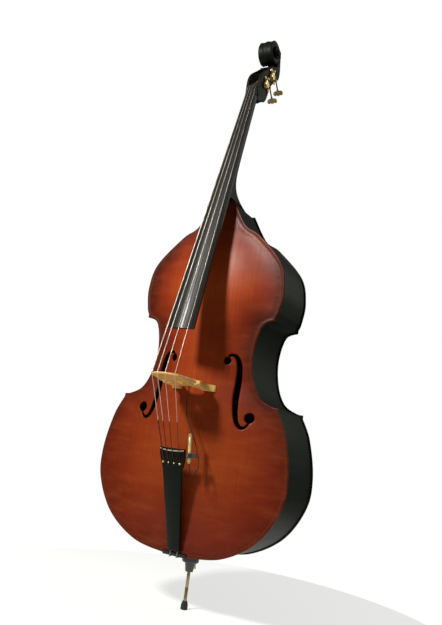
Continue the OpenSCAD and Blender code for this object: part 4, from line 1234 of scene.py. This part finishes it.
def make_jack():
    """Brass barrel with a grip ring and a socket in its upper end."""
    length = float(np.linalg.norm(JACK_HIGH - JACK_LOW))
    profile = [(0.02, 0), (3.4, 0), (4.8, 0.6), (5, 1.6), (5, 5.4), (6.0, 6), (6.5, 6.6)]
    for k in range(9):
        z = 33 + 2.2 * k
        profile += [(6.5, z), (6.15, z + 0.6), (6.15, z + 1.2), (6.5, z + 1.8)]
    ending = [(6.5, 12), (6.0, 11), (6.0, 9.5), (6.5, 9), (6.5, 6.4), (5.5, 6), (5.5, 0.8), (4.9, 0),
              (SOCKET_R + 0.5, 0), (SOCKET_R, 0.5), (SOCKET_R, SOCKET_DEPTH), (0.02, SOCKET_DEPTH)]
    profile += [(r, length - down) for r, down in ending]
    turn = Vector(JACK_HIGH - JACK_LOW).to_track_quat("Z", "Y").to_matrix().to_4x4()
    barrel = placed(lathe(profile), Matrix.Translation(JACK_LOW) @ turn)
    piece("jack_barrel", *barrel, "brass", stands_for="pickup_jack", sharp=30)


LEAD_ROUTE = [
    (0.014, -0.174, 0.6495), (0.013, -0.174, 0.635), (0.011, -0.173, 0.615), (0.012, -0.172, 0.590),
    (0.019, -0.173, 0.565), (0.029, -0.174, 0.545), (0.041, -0.174, 0.525), (0.053, -0.174, 0.505),
    (0.064, -0.175, 0.485), (0.074, -0.178, 0.465), (0.083, -0.182, 0.447), (0.088, -0.186, 0.430),
    (0.088, -0.189, 0.418), (0.082, -0.190, 0.409), (0.073, -0.190, 0.407), (0.065, -0.190, 0.412),
    (0.0615, -0.190, 0.421), (0.060, -0.190, 0.430)]
LEAD_D = 0.003


def make_lead():
    """The pickup's thin lead hangs from the sensor and loops up into the foot of the jack."""
    path = smooth(LEAD_ROUTE, 8)
    verts, faces = tube(path / MM, LEAD_D / 2 / MM, 14)
    lead = piece("lead", verts, faces, "lead_sheath", stands_for="pickup_lead", sharp=60)


# ---------------------------------------------------------------- CAD nodes that stay

STAYING = {
    "inner_wood": ["top_linings", "back_linings", "neck_block", "end_block"],
    "dark_varnish": ["corner_blocks"],
    "spruce": ["bass_bar", "sound_post"],
    "ebony": ["nut", "saddle"],
    "collar_black": ["endpin_collar"],
    "sensor_black": ["pickup_sensor"],
    "strap": ["jack_strap"],
    "brass": ["plate_screws"]
    + [f"{kind}_{s}" for kind in ("machine_plate", "gear", "string_post") for s in STRINGS],
}
BRASS_BEVEL = 0.3
BEVELS = {
    "nut": 0.8, "saddle": 1.5, "endpin_collar": 0.6, "pickup_sensor": 0.8, "jack_strap": 0.4,
    "plate_screws": 0.2}


def dress_cad_nodes():
    """Gives each CAD node that stays its material, and rounds the edges of those in view."""
    for slot, names in STAYING.items():
        for name in names:
            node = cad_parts[name]
            node.data.materials.clear()
            node.data.materials.append(MATERIALS[slot])
            if slot == "brass" or name in BEVELS:
                m = node.modifiers.new("bevel", "BEVEL")
                m.width, m.segments = BEVELS.get(name, BRASS_BEVEL) * MM, 2
                m.limit_method, m.angle_limit = "ANGLE", math.radians(35)
                m.use_clamp_overlap = True


make_camera()
make_studio()
MATERIALS = make_materials()
make_lead()
make_top()
make_back()
make_ribs()
make_neck()
make_fingerboard()
make_strings()
make_bridge()
make_tailpiece()
make_tail_wire()
make_machines()
make_endpin()
make_thumb_screw()
make_jack()
dress_cad_nodes()
